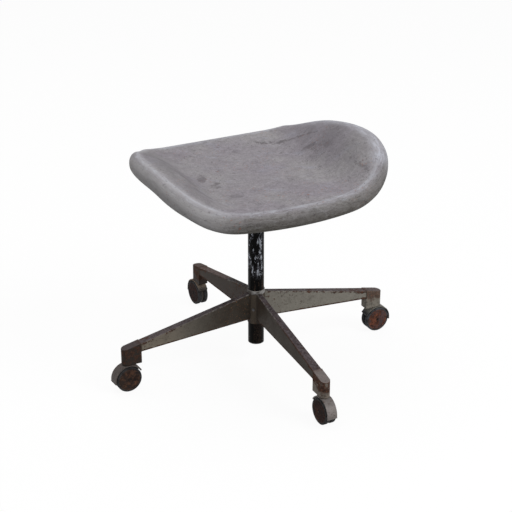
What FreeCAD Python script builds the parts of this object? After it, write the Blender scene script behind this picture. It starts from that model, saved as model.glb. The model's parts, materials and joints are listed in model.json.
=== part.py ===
"""Lab stool: dished seat on a threaded spindle, four-leg pressed base and twin-wheel casters.

Millimetres. The origin lies on the floor under the column, +Z is up and the front of the seat is -Y.
"""
import FreeCAD, Part
import math
import os
import Sketcher
from FreeCAD import Placement, Rotation, Vector

# Driving sizes
SIZES = {
    # Base: where the casters stand and how the legs run
    "stem_circle_radius": 280.0,
    "hub_radius": 17.7,
    "hub_bottom": 87.0,
    "hub_height": 75.0,
    "hub_ring_height": 8.0,
    "hub_ring_proud": 0.3,
    "hub_chamfer": 0.6,
    "hub_fit": 0.05,
    "leg_root_width": 11.7,
    "leg_root_top": 153.8,
    "leg_root_depth": 58.4,
    "leg_tip_width": 19.8,
    "leg_tip_top": 100.3,
    "leg_tip_depth": 18.2,
    "leg_wall": 2.0,
    "leg_edge_radius": 1.8,
    "weld_gap": 0.05,
    # Leg-end sockets
    "socket_width": 20.5,
    "socket_tail": 20.0,
    "socket_nose": 9.0,
    "socket_bottom": 57.6,
    "socket_height": 43.4,
    "socket_edge_radius": 1.2,
    "sleeve_radius": 6.0,
    "sleeve_length": 31.0,
    "sleeve_flange_radius": 8.0,
    "sleeve_flange": 0.8,
    "sleeve_fit": 0.05,
    # Casters
    "caster_trail": 8.8,
    "wheel_radius": 26.8,
    "wheel_width": 8.6,
    "wheel_edge_radius": 1.5,
    "wheel_boss_radius": 7.0,
    "wheel_rim_wall": 4.0,
    "wheel_recess": 4.0,
    "wheel_side_gap": 0.4,
    "axle_radius": 3.0,
    "axle_fit": 0.05,
    "axle_end_gap": 0.4,
    "axle_chamfer": 0.4,
    "cover_radius": 21.5,
    "cover_seat": 1.2,
    "cover_proud": 0.5,
    "cover_bevel": 1.4,
    "cover_dimple_radius": 4.0,
    "cover_dimple": 0.5,
    "cover_fit": 0.05,
    "web_width": 5.2,
    "web_drop": 3.0,
    "hood_gap": 1.5,
    "hood_wall": 2.5,
    "hood_side_step": 1.2,
    "hood_lip_radius": 1.9,
    "neck_radius": 10.0,
    "neck_foot": 45.0,
    "swivel_gap": 0.3,
    "stem_radius": 4.0,
    "stem_root_radius": 1.9,
    "stem_root_length": 11.0,
    "stem_groove": 1.5,
    "stem_groove_depth": 0.6,
    "stem_groove_drop": 4.0,
    "stem_top_gap": 1.0,
    # Column and height screw
    "column_radius": 16.4,
    "column_wall": 1.5,
    "column_foot": 42.0,
    "column_height": 294.0,
    "plug_cap": 2.0,
    "plug_depth": 10.0,
    "plug_fit": 0.05,
    "nut_length": 30.0,
    "spindle_radius": 10.0,
    "screw_fit": 0.05,
    "screw_lead": 8.0,
    "journal_radius": 6.0,
    "journal_length": 14.0,
    "guide_fit": 0.1,
    "guide_end_gap": 0.3,
    "guide_chamfer": 1.0,
    "stop_margin": 2.0,
    "guide_screw_radius": 3.0,
    "guide_screw_length": 14.0,
    "guide_head_radius": 9.0,
    "guide_head_height": 3.0,
    "washer_thickness": 1.8,
    "washer_bore_gap": 0.6,
    "lower_stop_gap": 0.4,
    "hub_screw_height": 120.0,
    "hub_screw_radius": 1.9,
    "hub_screw_head_radius": 3.4,
    "hub_screw_head": 1.8,
    "hub_screw_fit": 0.1,
    # Seat fixing
    "boss_radius": 18.0,
    "boss_length": 33.8,
    "boss_flange_radius": 32.0,
    "boss_flange": 4.0,
    "boss_roof": 2.0,
    "boss_fit": 0.03,
    "pin_radius": 2.5,
    "pin_drop": 18.0,
    "pin_fit": 0.05,
    "plate_width": 150.0,
    "plate_thickness": 3.0,
    "plate_corner": 14.0,
    "plate_hole_radius": 3.3,
    "fixing_spacing": 116.0,
    "fixing_radius": 3.0,
    "fixing_head_radius": 5.5,
    "fixing_head": 3.6,
    "fixing_fit": 0.05,
    "insert_radius": 5.0,
    "insert_fit": 0.05,
    "board_width": 200.0,
    "board_depth": 190.0,
    "board_thickness": 12.0,
    "board_corner": 25.0,
    "board_forward": 5.0,
    "board_fit": 0.1,
    # Seat cushion
    "foam_over_board": 24.5,
    "seat_thickness": 38.5,
    "seat_half_width": 250.0,
    "seat_front": 198.0,
    "seat_rear": 201.5,
    "seat_widest": 20.0,
    "side_arc_radius": 326.0,
    "rear_arc_radius": 457.0,
    "rear_corner_radius": 111.0,
    "front_corner_radius": 24.0,
    "rim_rise": 62.5,
    "rim_peak": 32.0,
    "rim_half_width": 217.0,
    "rim_front_length": 232.0,
    "rim_rear_length": 150.0,
    "pan_low": 40.0,
    "pan_front_rise": 16.5,
    "pan_rear_rise": 0.5,
    "top_lip_radius": 18.5,
    "bottom_lip_radius": 16.0,
    "grid_margin": 12.0,
    # How far every cut runs past what it cuts
    "overrun": 1.0,
}

# Counts, angles, shares and the tolerance for equal sizes
SCREW_TURNS = 15
GRID_STEPS = 20
SAME = 1e-6
PAN_SHARE = 0.51
HUB_SCREW_ANGLE = 45.0
HALF_TURN = 180.0
HOOD_FRONT_RISE = 31.0
HOOD_REAR_DROP = 7.0
LEGS = {"right": 0.0, "rear": 90.0, "left": 180.0, "front": 270.0}
# The way each caster trails from its stem when the stool is at rest
HEADINGS = {"right": 2.8, "rear": 91.7, "left": 181.0, "front": 272.6}

doc = FreeCAD.newDocument("LabStool")
sheet = doc.addObject("Spreadsheet::Sheet", "Sizes")
for row, (alias, number) in enumerate(SIZES.items(), start=1):
    sheet.set(f"A{row}", alias)
    sheet.set(f"B{row}", str(number))
    sheet.setAlias(f"B{row}", alias)
doc.recompute()

nodes = {}


class Length:
    """A size with its number and the expression that binds it to the sheet."""

    def __init__(self, number, text):
        self.number = float(number)
        self.text = text

    def joined(self, sign, other, number):
        right = other.text if isinstance(other, Length) else repr(other)
        return Length(number, f"({self.text} {sign} {right})")

    def __add__(self, other):
        return self.joined("+", other, self.number + other.number)

    def __sub__(self, other):
        return self.joined("-", other, self.number - other.number)

    def __mul__(self, other):
        factor = other.number if isinstance(other, Length) else other
        return self.joined("*", other, self.number * factor)

    def __rmul__(self, factor):
        return self * factor

    def __truediv__(self, other):
        divisor = other.number if isinstance(other, Length) else other
        return self.joined("/", other, self.number / divisor)

    def __neg__(self):
        return Length(-self.number, f"(-{self.text})")


class Book:
    """Gives each size of the sheet by its name."""

    def __getattr__(self, alias):
        return Length(SIZES[alias], f"Sizes.{alias}")


S = Book()
ZERO = Length(0, "0")


def bind(feature, **sizes):
    """Ties properties of a feature to sizes of the sheet."""
    for name, length in sizes.items():
        feature.setExpression(name, length.text)


def place(piece, x, y, z, rotation=None):
    """Turns a piece and ties its position to the sheet."""
    piece.Placement = Placement(Vector(x.number, y.number, z.number), rotation or Rotation())
    for axis, length in (("x", x), ("y", y), ("z", z)):
        piece.setExpression(f"Placement.Base.{axis}", length.text)


def keep(label, piece):
    """Names a finished sub-part."""
    piece.Label = label
    nodes[label] = piece
    return piece


def heading(angle):
    """Rotation about the vertical."""
    return Rotation(Vector(0, 0, 1), angle)


def outward(angle):
    """Rotation that lays a turned piece's axis along a horizontal direction."""
    return heading(angle) * Rotation(Vector(0, 1, 0), 90)


def polar(radius, angle):
    """Plan position at a radius and angle, as two bound lengths."""
    turn = math.radians(angle)
    x = Length(radius.number * math.cos(turn), f"({radius.text} * cos({angle}))")
    y = Length(radius.number * math.sin(turn), f"({radius.text} * sin({angle}))")
    return x, y


def origin_plane(body, role):
    for feature in body.Origin.OriginFeatures:
        if feature.Role == role:
            return feature
    raise ValueError(role)


def new_body(name):
    return doc.addObject("PartDesign::Body", name)


def new_sketch(body, name, role, offset=None):
    """A sketch on one of the body's own planes, at a bound offset along its normal."""
    sketch = body.newObject("Sketcher::SketchObject", name)
    sketch.AttachmentSupport = [(origin_plane(body, role), "")]
    sketch.MapMode = "FlatFace"
    if offset is not None:
        sketch.AttachmentOffset = Placement(Vector(0, 0, offset.number), Rotation())
        sketch.setExpression("AttachmentOffset.Base.z", offset.text)
    return sketch


def pin_point(sketch, element, point, across, up):
    """Fixes a point of a sketch at bound distances from the sketch's origin."""
    for kind, axis, distance in (("DistanceX", -2, across), ("DistanceY", -1, up)):
        if distance.number == 0:
            sketch.addConstraint(Sketcher.Constraint("PointOnObject", element, point, axis))
            continue
        if distance.number > 0:
            ends = (-1, 1, element, point)
            size = distance
        else:
            ends = (element, point, -1, 1)
            size = -distance
        index = sketch.addConstraint(Sketcher.Constraint(kind, *ends, size.number))
        sketch.setExpression(f"Constraints[{index}]", size.text)


def draw_outline(sketch, corners):
    """Closes straight lines through corners that are bound to the sheet."""
    points = [Vector(across.number, up.number, 0) for across, up in corners]
    count = len(points)
    for i in range(count):
        sketch.addGeometry(Part.LineSegment(points[i], points[(i + 1) % count]), False)
    for i in range(count):
        sketch.addConstraint(Sketcher.Constraint("Coincident", i, 2, (i + 1) % count, 1))
    for i, (across, up) in enumerate(corners):
        pin_point(sketch, i, 1, across, up)


def draw_circle(sketch, across, up, radius):
    centre = Vector(across.number, up.number, 0)
    circle = sketch.addGeometry(Part.Circle(centre, Vector(0, 0, 1), radius.number), False)
    pin_point(sketch, circle, 3, across, up)
    index = sketch.addConstraint(Sketcher.Constraint("Radius", circle, radius.number))
    sketch.setExpression(f"Constraints[{index}]", radius.text)


def turned(name, corners):
    """A body turned about Z from a profile of (radius, height) corners."""
    body = new_body(name)
    sketch = new_sketch(body, name + "_profile", "XZ_Plane")
    draw_outline(sketch, corners)
    turn = body.newObject("PartDesign::Revolution", name + "_turn")
    turn.Profile = sketch
    turn.ReferenceAxis = (sketch, ["V_Axis"])
    sketch.Visibility = False
    return body


def round_edges(body, radius, chosen):
    """Rounds the edges of a body that a test picks."""
    doc.recompute()
    base = body.Tip
    names = [f"Edge{i + 1}" for i, edge in enumerate(base.Shape.Edges) if chosen(edge)]
    fillet = body.newObject("PartDesign::Fillet", base.Name + "_round")
    fillet.Base = (base, names)
    bind(fillet, Radius=radius)
    return fillet


def cylinder(name, radius, height):
    piece = doc.addObject("Part::Cylinder", name)
    bind(piece, Radius=radius, Height=height)
    return piece


def cut(name, base, tool):
    piece = doc.addObject("Part::Cut", name)
    piece.Base = base
    piece.Tool = tool
    return piece


def fuse(name, shapes):
    piece = doc.addObject("Part::MultiFuse", name)
    piece.Shapes = shapes
    piece.Refine = True
    return piece


def group(name, pieces):
    piece = doc.addObject("Part::Compound", name)
    piece.Links = pieces
    return piece


def is_circle_of(edge, radius):
    return isinstance(edge.Curve, Part.Circle) and abs(edge.Curve.Radius - radius) < SAME


# Levels up the column
column_top = S.column_foot + S.column_height
column_bore = S.column_radius - S.column_wall
nut_bottom = column_top - S.nut_length
washer_top = column_top + S.washer_thickness
boss_bottom = washer_top + S.lower_stop_gap
plate_bottom = boss_bottom + S.boss_length
board_bottom = plate_bottom + S.plate_thickness
board_top = board_bottom + S.board_thickness
pan_level = board_top + S.foam_over_board
journal_top = nut_bottom - S.screw_lead * SCREW_TURNS - S.stop_margin
spindle_foot = journal_top - S.journal_length
spindle_top = plate_bottom - S.boss_roof - S.boss_fit

# Levels and places of the leg ends and casters
hub_top = S.hub_bottom + S.hub_height
socket_top = S.socket_bottom + S.socket_height
sleeve_top = S.socket_bottom + S.sleeve_length
neck_top = S.socket_bottom - S.sleeve_flange - S.swivel_gap
leg_end = S.stem_circle_radius - S.socket_tail
leg_fall = (S.leg_root_top - S.leg_tip_top) / (leg_end - S.hub_radius)
wheel_inner = S.web_width / 2 + S.wheel_side_gap
wheel_outer = wheel_inner + S.wheel_width
cover_floor = wheel_outer - S.cover_seat
hood_inner = S.wheel_radius + S.hood_gap
hood_outer = hood_inner + S.hood_wall
hood_width = 2 * (wheel_outer - S.hood_side_step)


def hub_screw_hole(name, reach):
    """A radial cylinder through the hub, for the screw that holds the column."""
    hole = cylinder(name, S.hub_screw_radius + S.hub_screw_fit, reach)
    place(hole, ZERO, ZERO, S.hub_screw_height, outward(HUB_SCREW_ANGLE))
    return hole


def make_column():
    """The closed tube, its end plug, the nut in its mouth and the washer on top."""
    tube = turned("column_blank", [
        (column_bore, S.column_foot),
        (S.column_radius, S.column_foot),
        (S.column_radius, column_top),
        (column_bore, column_top),
    ])
    hole = hub_screw_hole("column_screw_hole", S.column_radius + S.overrun)
    keep("column_tube", cut("column_cut", tube, hole))

    spigot = column_bore - S.plug_fit
    keep("column_plug", turned("plug", [
        (ZERO, S.column_foot - S.plug_cap),
        (S.column_radius, S.column_foot - S.plug_cap),
        (S.column_radius, S.column_foot),
        (spigot, S.column_foot),
        (spigot, S.column_foot + S.plug_depth),
        (ZERO, S.column_foot + S.plug_depth),
    ]))

    nut_bore = S.spindle_radius + S.screw_fit
    nut_radius = column_bore - S.plug_fit
    keep("spindle_nut", turned("nut", [
        (nut_bore, nut_bottom),
        (nut_radius, nut_bottom),
        (nut_radius, column_top),
        (nut_bore, column_top),
    ]))

    washer_bore = S.spindle_radius + S.washer_bore_gap
    keep("thrust_washer", turned("washer", [
        (washer_bore, column_top),
        (S.column_radius, column_top),
        (S.column_radius, washer_top),
        (washer_bore, washer_top),
    ]))


def make_hub():
    """The sleeve that the legs are welded to, with its worn top ring, and its screw."""
    bore = S.column_radius + S.hub_fit
    ring_radius = S.hub_radius + S.hub_ring_proud
    ring_bottom = hub_top - S.hub_ring_height
    blank = turned("hub_blank", [
        (bore, S.hub_bottom),
        (S.hub_radius, S.hub_bottom),
        (S.hub_radius, ring_bottom),
        (ring_radius, ring_bottom + S.hub_ring_proud),
        (ring_radius, hub_top - S.hub_chamfer),
        (ring_radius - S.hub_chamfer, hub_top),
        (bore, hub_top),
    ])
    hole = hub_screw_hole("hub_screw_hole", ring_radius + S.overrun)
    keep("hub_sleeve", cut("hub_cut", blank, hole))

    shank_end = column_bore + S.hub_screw_fit
    screw = turned("hub_screw_blank", [
        (ZERO, shank_end),
        (S.hub_screw_radius, shank_end),
        (S.hub_screw_radius, S.hub_radius),
        (S.hub_screw_head_radius, S.hub_radius),
        (S.hub_screw_head_radius, S.hub_radius + S.hub_screw_head / 2),
        (S.hub_screw_radius, S.hub_radius + S.hub_screw_head),
        (ZERO, S.hub_radius + S.hub_screw_head),
    ])
    place(screw, ZERO, ZERO, S.hub_screw_height, outward(HUB_SCREW_ANGLE))
    keep("hub_screw", screw)


def leg_section(station, inset):
    """Corners of the leg's box at a distance from the column, drawn in by a wall."""
    share = (station - S.hub_radius) / (leg_end - S.hub_radius)
    half = (S.leg_root_width + (S.leg_tip_width - S.leg_root_width) * share) / 2 - inset
    top = S.leg_root_top + (S.leg_tip_top - S.leg_root_top) * share
    depth = S.leg_root_depth + (S.leg_tip_depth - S.leg_root_depth) * share
    low = top - depth + inset
    high = top - inset
    return [(-half, low), (half, low), (half, high), (-half, high)]


def leg_loft(body, name, kind, stations, inset):
    """A straight loft between two box sections of the leg."""
    sketches = []
    for i, station in enumerate(stations):
        sketch = new_sketch(body, f"{name}_{i}", "YZ_Plane", station)
        draw_outline(sketch, leg_section(station, inset))
        sketch.Visibility = False
        sketches.append(sketch)
    loft = body.newObject(kind, name)
    loft.Profile = sketches[0]
    loft.Sections = [sketches[1]]
    loft.Ruled = True
    return loft


def make_leg(side, angle):
    """A tapering closed box folded from sheet, saddled onto the hub and butted to its socket."""
    body = new_body(f"leg_blank_{side}")
    start = S.hub_radius / 2
    leg_loft(body, f"leg_outer_{side}", "PartDesign::AdditiveLoft", (start, leg_end), ZERO)
    reach = (leg_end.number - start.number) / 2
    round_edges(body, S.leg_edge_radius,
                lambda edge: edge.BoundBox.XLength > reach)
    cavity = (S.hub_radius + 2 * S.leg_wall, leg_end - S.leg_wall)
    leg_loft(body, f"leg_inner_{side}", "PartDesign::SubtractiveLoft", cavity, S.leg_wall)
    hub = cylinder(f"leg_saddle_{side}", S.hub_radius + S.weld_gap, hub_top)
    leg = cut(f"leg_cut_{side}", body, hub)
    place(leg, ZERO, ZERO, ZERO, heading(angle))
    keep(f"leg_{side}", leg)


def make_socket(side, angle):
    """The round-nosed block at the leg's end, its top falling with the leg, bored for the stem."""
    body = new_body(f"socket_{side}")
    half = S.socket_width / 2
    sketch = new_sketch(body, f"socket_plan_{side}", "XY_Plane", S.socket_bottom)
    tail = -S.socket_tail.number
    nose = S.socket_nose.number
    sketch.addGeometry([
        Part.LineSegment(Vector(tail, -half.number, 0), Vector(nose, -half.number, 0)),
        Part.ArcOfCircle(Part.Circle(Vector(nose, 0, 0), Vector(0, 0, 1), half.number),
                         -math.pi / 2, math.pi / 2),
        Part.LineSegment(Vector(nose, half.number, 0), Vector(tail, half.number, 0)),
        Part.LineSegment(Vector(tail, half.number, 0), Vector(tail, -half.number, 0)),
    ], False)
    for first in range(4):
        sketch.addConstraint(Sketcher.Constraint("Coincident", first, 2, (first + 1) % 4, 1))
    pin_point(sketch, 1, 3, S.socket_nose, ZERO)
    sketch.addConstraint(Sketcher.Constraint("Vertical", 1, 1, 1, 3))
    sketch.addConstraint(Sketcher.Constraint("Vertical", 1, 2, 1, 3))
    sketch.addConstraint(Sketcher.Constraint("Horizontal", 0))
    sketch.addConstraint(Sketcher.Constraint("Horizontal", 2))
    sketch.addConstraint(Sketcher.Constraint("Vertical", 3))
    index = sketch.addConstraint(Sketcher.Constraint("Radius", 1, half.number))
    sketch.setExpression(f"Constraints[{index}]", half.text)
    index = sketch.addConstraint(Sketcher.Constraint("DistanceX", 3, 1, -1, 1, -tail))
    sketch.setExpression(f"Constraints[{index}]", S.socket_tail.text)
    pad = body.newObject("PartDesign::Pad", f"socket_pad_{side}")
    pad.Profile = sketch
    bind(pad, Length=S.socket_height)
    rear = -S.socket_tail - S.overrun
    front = S.socket_nose + half + S.overrun
    above = socket_top + S.overrun
    slope = new_sketch(body, f"socket_slope_{side}", "XZ_Plane", half + S.overrun)
    draw_outline(slope, [
        (rear, socket_top + leg_fall * S.overrun),
        (front, socket_top - leg_fall * (front + S.socket_tail)),
        (front, above),
        (rear, above),
    ])
    slope.Visibility = False
    slice_off = body.newObject("PartDesign::Pocket", f"socket_top_{side}")
    slice_off.Profile = slope
    bind(slice_off, Length=S.socket_width + 2 * S.overrun)
    round_edges(body, S.socket_edge_radius, lambda edge: edge.BoundBox.XLength > SAME)
    bore = new_sketch(body, f"socket_bore_plan_{side}", "XY_Plane", S.socket_bottom)
    draw_circle(bore, ZERO, ZERO, S.sleeve_radius + S.sleeve_fit)
    pocket = body.newObject("PartDesign::Pocket", f"socket_bore_{side}")
    pocket.Profile = bore
    pocket.Reversed = True
    bind(pocket, Length=S.sleeve_length)
    x, y = polar(S.stem_circle_radius, angle)
    place(body, x, y, ZERO, heading(angle))
    keep(f"caster_socket_{side}", body)


def make_sleeves():
    """The four plastic sleeves that the stems turn in."""
    sleeves = []
    bore = S.stem_radius + S.sleeve_fit
    flange = S.socket_bottom - S.sleeve_flange
    for side, angle in LEGS.items():
        sleeve = turned(f"sleeve_{side}", [
            (bore, flange),
            (S.sleeve_flange_radius, flange),
            (S.sleeve_flange_radius, S.socket_bottom),
            (S.sleeve_radius, S.socket_bottom),
            (S.sleeve_radius, sleeve_top),
            (bore, sleeve_top),
        ])
        x, y = polar(S.stem_circle_radius, angle)
        place(sleeve, x, y, ZERO)
        sleeves.append(sleeve)
    keep("stem_sleeves", group("sleeve_group", sleeves))


def across_caster(start_angle=0):
    """Rotation that lays a cylinder's axis across the caster, from +Y to -Y."""
    return Rotation(Vector(1, 0, 0), 90) * Rotation(Vector(0, 0, 1), start_angle)


def crosswise(name, radius, width, start_angle=0):
    """A cylinder about the wheel axle, centred on the caster's mid-plane."""
    piece = cylinder(name, radius, width)
    place(piece, S.caster_trail, width / 2, S.wheel_radius, across_caster(start_angle))
    return piece


def hood_lip(name, angle):
    """The rolled lip at one end of the hood."""
    x, z = polar(hood_outer - S.hood_wall / 2, angle)
    lip = cylinder(name, S.hood_lip_radius, hood_width)
    place(lip, S.caster_trail + x, hood_width / 2, S.wheel_radius + z, across_caster())
    return lip


def make_hood(side, x, y, turn):
    """The hood over both treads, its crown flat under the socket, its web and two bores."""
    sweep = HALF_TURN + HOOD_REAR_DROP - HOOD_FRONT_RISE
    start = -HOOD_REAR_DROP
    fender = crosswise(f"fender_{side}", hood_outer, hood_width, start)
    fender.Angle = sweep
    neck = cylinder(f"neck_{side}", S.neck_radius, neck_top - S.neck_foot)
    place(neck, ZERO, ZERO, S.neck_foot)
    lips = [
        hood_lip(f"rear_lip_{side}", start),
        hood_lip(f"front_lip_{side}", start + sweep),
    ]
    shell = fuse(f"hood_outside_{side}", [fender, neck] + lips)
    wheel_space = crosswise(f"wheel_space_{side}", hood_inner, hood_width + 2 * S.overrun)
    roof = cut(f"hood_roof_{side}", shell, wheel_space)
    web = crosswise(f"web_{side}", hood_outer - S.hood_wall / 2, S.web_width, start)
    web.Angle = sweep
    web_foot = crosswise(f"web_foot_{side}", S.wheel_radius - S.web_drop, S.web_width)
    casting = fuse(f"hood_casting_{side}", [roof, web, web_foot])
    axle_bore = crosswise(f"axle_bore_{side}", S.axle_radius, hood_width + 2 * S.overrun)
    stem_bore = cylinder(f"stem_bore_{side}", S.stem_root_radius, S.stem_root_length + S.overrun)
    place(stem_bore, ZERO, ZERO, neck_top - S.stem_root_length)
    crown = cylinder(f"crown_trim_{side}", hood_outer + S.caster_trail, hood_outer)
    place(crown, ZERO, ZERO, neck_top)
    bores = fuse(f"hood_bores_{side}", [axle_bore, stem_bore, crown])
    hood = cut(f"hood_cut_{side}", casting, bores)
    place(hood, x, y, ZERO, heading(turn))
    keep(f"caster_hood_{side}", hood)


def make_stem(side, x, y):
    """The swivel stem, its spigot pressed into the web, with a snap groove near its top."""
    top = sleeve_top - S.stem_top_gap
    groove_top = top - S.stem_groove_drop
    groove_bottom = groove_top - S.stem_groove
    groove_radius = S.stem_radius - S.stem_groove_depth
    stem = turned(f"stem_{side}", [
        (ZERO, neck_top - S.stem_root_length),
        (S.stem_root_radius, neck_top - S.stem_root_length),
        (S.stem_root_radius, neck_top),
        (S.stem_radius, neck_top),
        (S.stem_radius, groove_bottom),
        (groove_radius, groove_bottom),
        (groove_radius, groove_top),
        (S.stem_radius, groove_top),
        (S.stem_radius, top - S.stem_groove_depth),
        (groove_radius, top),
        (ZERO, top),
    ])
    place(stem, x, y, ZERO)
    keep(f"caster_stem_{side}", stem)


def wheel_profile():
    bore = S.axle_radius + S.axle_fit
    rim = S.wheel_radius - S.wheel_rim_wall
    seat = S.cover_radius + S.cover_fit
    recess = wheel_inner + S.wheel_recess
    return [
        (bore, wheel_inner),
        (S.wheel_boss_radius, wheel_inner),
        (S.wheel_boss_radius, recess),
        (rim, recess),
        (rim, wheel_inner),
        (S.wheel_radius, wheel_inner),
        (S.wheel_radius, wheel_outer),
        (seat, wheel_outer),
        (seat, cover_floor),
        (bore, cover_floor),
    ]


def cover_profile():
    face = wheel_outer + S.cover_proud
    return [
        (ZERO, cover_floor),
        (S.cover_radius, cover_floor),
        (S.cover_radius, wheel_outer),
        (S.cover_radius - S.cover_bevel, face),
        (S.cover_dimple_radius, face),
        (S.cover_dimple_radius - S.cover_dimple, face - S.cover_dimple),
        (ZERO, face - S.cover_dimple),
    ]


def make_wheels(side, x, y, turn):
    """The pressed-in axle and the two wheels that run on it, each with its steel cover."""
    half = cover_floor - S.axle_end_gap
    tip = S.axle_radius - S.axle_chamfer
    centre = S.wheel_radius
    axle = turned(f"axle_{side}", [
        (ZERO, -half),
        (tip, -half),
        (S.axle_radius, -half + S.axle_chamfer),
        (S.axle_radius, half - S.axle_chamfer),
        (tip, half),
        (ZERO, half),
    ])
    place(axle, x, y, centre, heading(turn) * across_caster())
    keep(f"caster_axle_{side}", axle)
    for hand, tilt in (("a", -90), ("b", 90)):
        lie = heading(turn) * Rotation(Vector(1, 0, 0), tilt)
        wheel = turned(f"wheel_blank_{side}_{hand}", wheel_profile())
        round_edges(wheel, S.wheel_edge_radius,
                    lambda edge: is_circle_of(edge, S.wheel_radius.number))
        place(wheel, x, y, centre, lie)
        keep(f"wheel_{side}_{hand}", wheel)
        cover = turned(f"cover_blank_{side}_{hand}", cover_profile())
        place(cover, x, y, centre, lie)
        keep(f"wheel_cover_{side}_{hand}", cover)


def make_caster(side, angle):
    turn = HEADINGS[side]
    x, y = polar(S.stem_circle_radius, angle)
    trail_x, trail_y = polar(S.caster_trail, turn)
    make_hood(side, x, y, turn)
    make_stem(side, x, y)
    make_wheels(side, x + trail_x, y + trail_y, turn)


def cross_pin(name, radius, half_length):
    """A cylinder along Y through the spindle boss."""
    pin = cylinder(name, radius, 2 * half_length)
    level = plate_bottom - S.pin_drop
    place(pin, ZERO, half_length, level, across_caster())
    return pin


def make_spindle():
    """The height screw, its boss and cross pin, and the guide that follows its lower end."""
    tapped = S.guide_screw_radius + S.screw_fit
    tapped_top = spindle_foot + S.guide_screw_length + S.guide_end_gap
    blank = turned("spindle_blank", [
        (tapped, spindle_foot),
        (S.journal_radius, spindle_foot),
        (S.journal_radius, journal_top),
        (S.spindle_radius, journal_top),
        (S.spindle_radius, spindle_top),
        (ZERO, spindle_top),
        (ZERO, tapped_top),
        (tapped, tapped_top),
    ])
    pin_hole = S.pin_radius + S.pin_fit
    reach = S.boss_radius + S.overrun
    keep("spindle", cut("spindle_cut", blank, cross_pin("spindle_pin_hole", pin_hole, reach)))

    bore = S.spindle_radius + S.boss_fit
    boss = turned("boss_blank", [
        (bore, boss_bottom),
        (S.boss_radius, boss_bottom),
        (S.boss_radius, plate_bottom - 2 * S.boss_flange),
        (S.boss_flange_radius, plate_bottom - S.boss_flange),
        (S.boss_flange_radius, plate_bottom),
        (ZERO, plate_bottom),
        (ZERO, plate_bottom - S.boss_roof),
        (bore, plate_bottom - S.boss_roof),
    ])
    keep("spindle_boss", cut("boss_cut", boss, cross_pin("boss_pin_hole", pin_hole, reach)))
    keep("spindle_pin", cross_pin("cross_pin", S.pin_radius, S.boss_radius))

    journal_bore = S.journal_radius + S.guide_fit / 2
    guide_radius = column_bore - S.guide_fit
    low = spindle_foot + S.guide_end_gap
    high = journal_top - S.guide_end_gap
    keep("lower_guide", turned("guide", [
        (journal_bore, low),
        (guide_radius - S.guide_chamfer, low),
        (guide_radius, low + S.guide_chamfer),
        (guide_radius, high - S.guide_chamfer),
        (guide_radius - S.guide_chamfer, high),
        (journal_bore, high),
    ]))

    keep("guide_screw", turned("guide_screw_blank", [
        (ZERO, spindle_foot - S.guide_head_height),
        (S.guide_head_radius, spindle_foot - S.guide_head_height),
        (S.guide_head_radius, spindle_foot),
        (S.guide_screw_radius, spindle_foot),
        (S.guide_screw_radius, spindle_foot + S.guide_screw_length),
        (ZERO, spindle_foot + S.guide_screw_length),
    ]))


def fixing_places():
    half = S.fixing_spacing / 2
    return [(half, half), (-half, half), (-half, -half), (half, -half)]


def plate(name, width, depth, thickness, bottom, corner, forward, hole_radius):
    """A flat rounded plate with the four fixing holes."""
    body = new_body(name)
    half_width = width / 2
    front = forward - depth / 2
    rear = forward + depth / 2
    plan = new_sketch(body, name + "_plan", "XY_Plane", bottom)
    draw_outline(plan, [
        (-half_width, front), (half_width, front), (half_width, rear), (-half_width, rear)])
    pad = body.newObject("PartDesign::Pad", name + "_pad")
    pad.Profile = plan
    bind(pad, Length=thickness)
    round_edges(body, corner, lambda edge: edge.BoundBox.ZLength > thickness.number / 2)
    holes = new_sketch(body, name + "_hole_plan", "XY_Plane", bottom)
    for x, y in fixing_places():
        draw_circle(holes, x, y, hole_radius)
    pocket = body.newObject("PartDesign::Pocket", name + "_holes")
    pocket.Profile = holes
    pocket.Type = "ThroughAll"
    pocket.Midplane = True
    return body


def make_fixings():
    """The four screws under the seat plate and the threaded inserts in the board."""
    screws = []
    inserts = []
    for i, (x, y) in enumerate(fixing_places()):
        screw = turned(f"fixing_{i}", [
            (ZERO, plate_bottom - S.fixing_head),
            (S.fixing_head_radius, plate_bottom - S.fixing_head),
            (S.fixing_head_radius, plate_bottom),
            (S.fixing_radius, plate_bottom),
            (S.fixing_radius, board_top - S.fixing_radius),
            (ZERO, board_top - S.fixing_radius),
        ])
        place(screw, x, y, ZERO)
        screws.append(screw)
        insert = turned(f"insert_{i}", [
            (S.fixing_radius + S.fixing_fit, board_bottom),
            (S.insert_radius, board_bottom),
            (S.insert_radius, board_top),
            (S.fixing_radius + S.fixing_fit, board_top),
        ])
        place(insert, x, y, ZERO)
        inserts.append(insert)
    keep("seat_screws", group("screw_group", screws))
    keep("board_inserts", group("insert_group", inserts))


def meeting_point(first, first_radius, second, second_radius):
    """The right-hand crossing of two circles in plan."""
    span = second - first
    distance = span.Length
    along = (first_radius ** 2 - second_radius ** 2 + distance ** 2) / (2 * distance)
    aside = math.sqrt(first_radius ** 2 - along ** 2)
    unit = span / distance
    square = Vector(-unit.y, unit.x, 0)
    crossings = (first + unit * along + square * aside, first + unit * along - square * aside)
    return max(crossings, key=lambda point: point.x)


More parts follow.
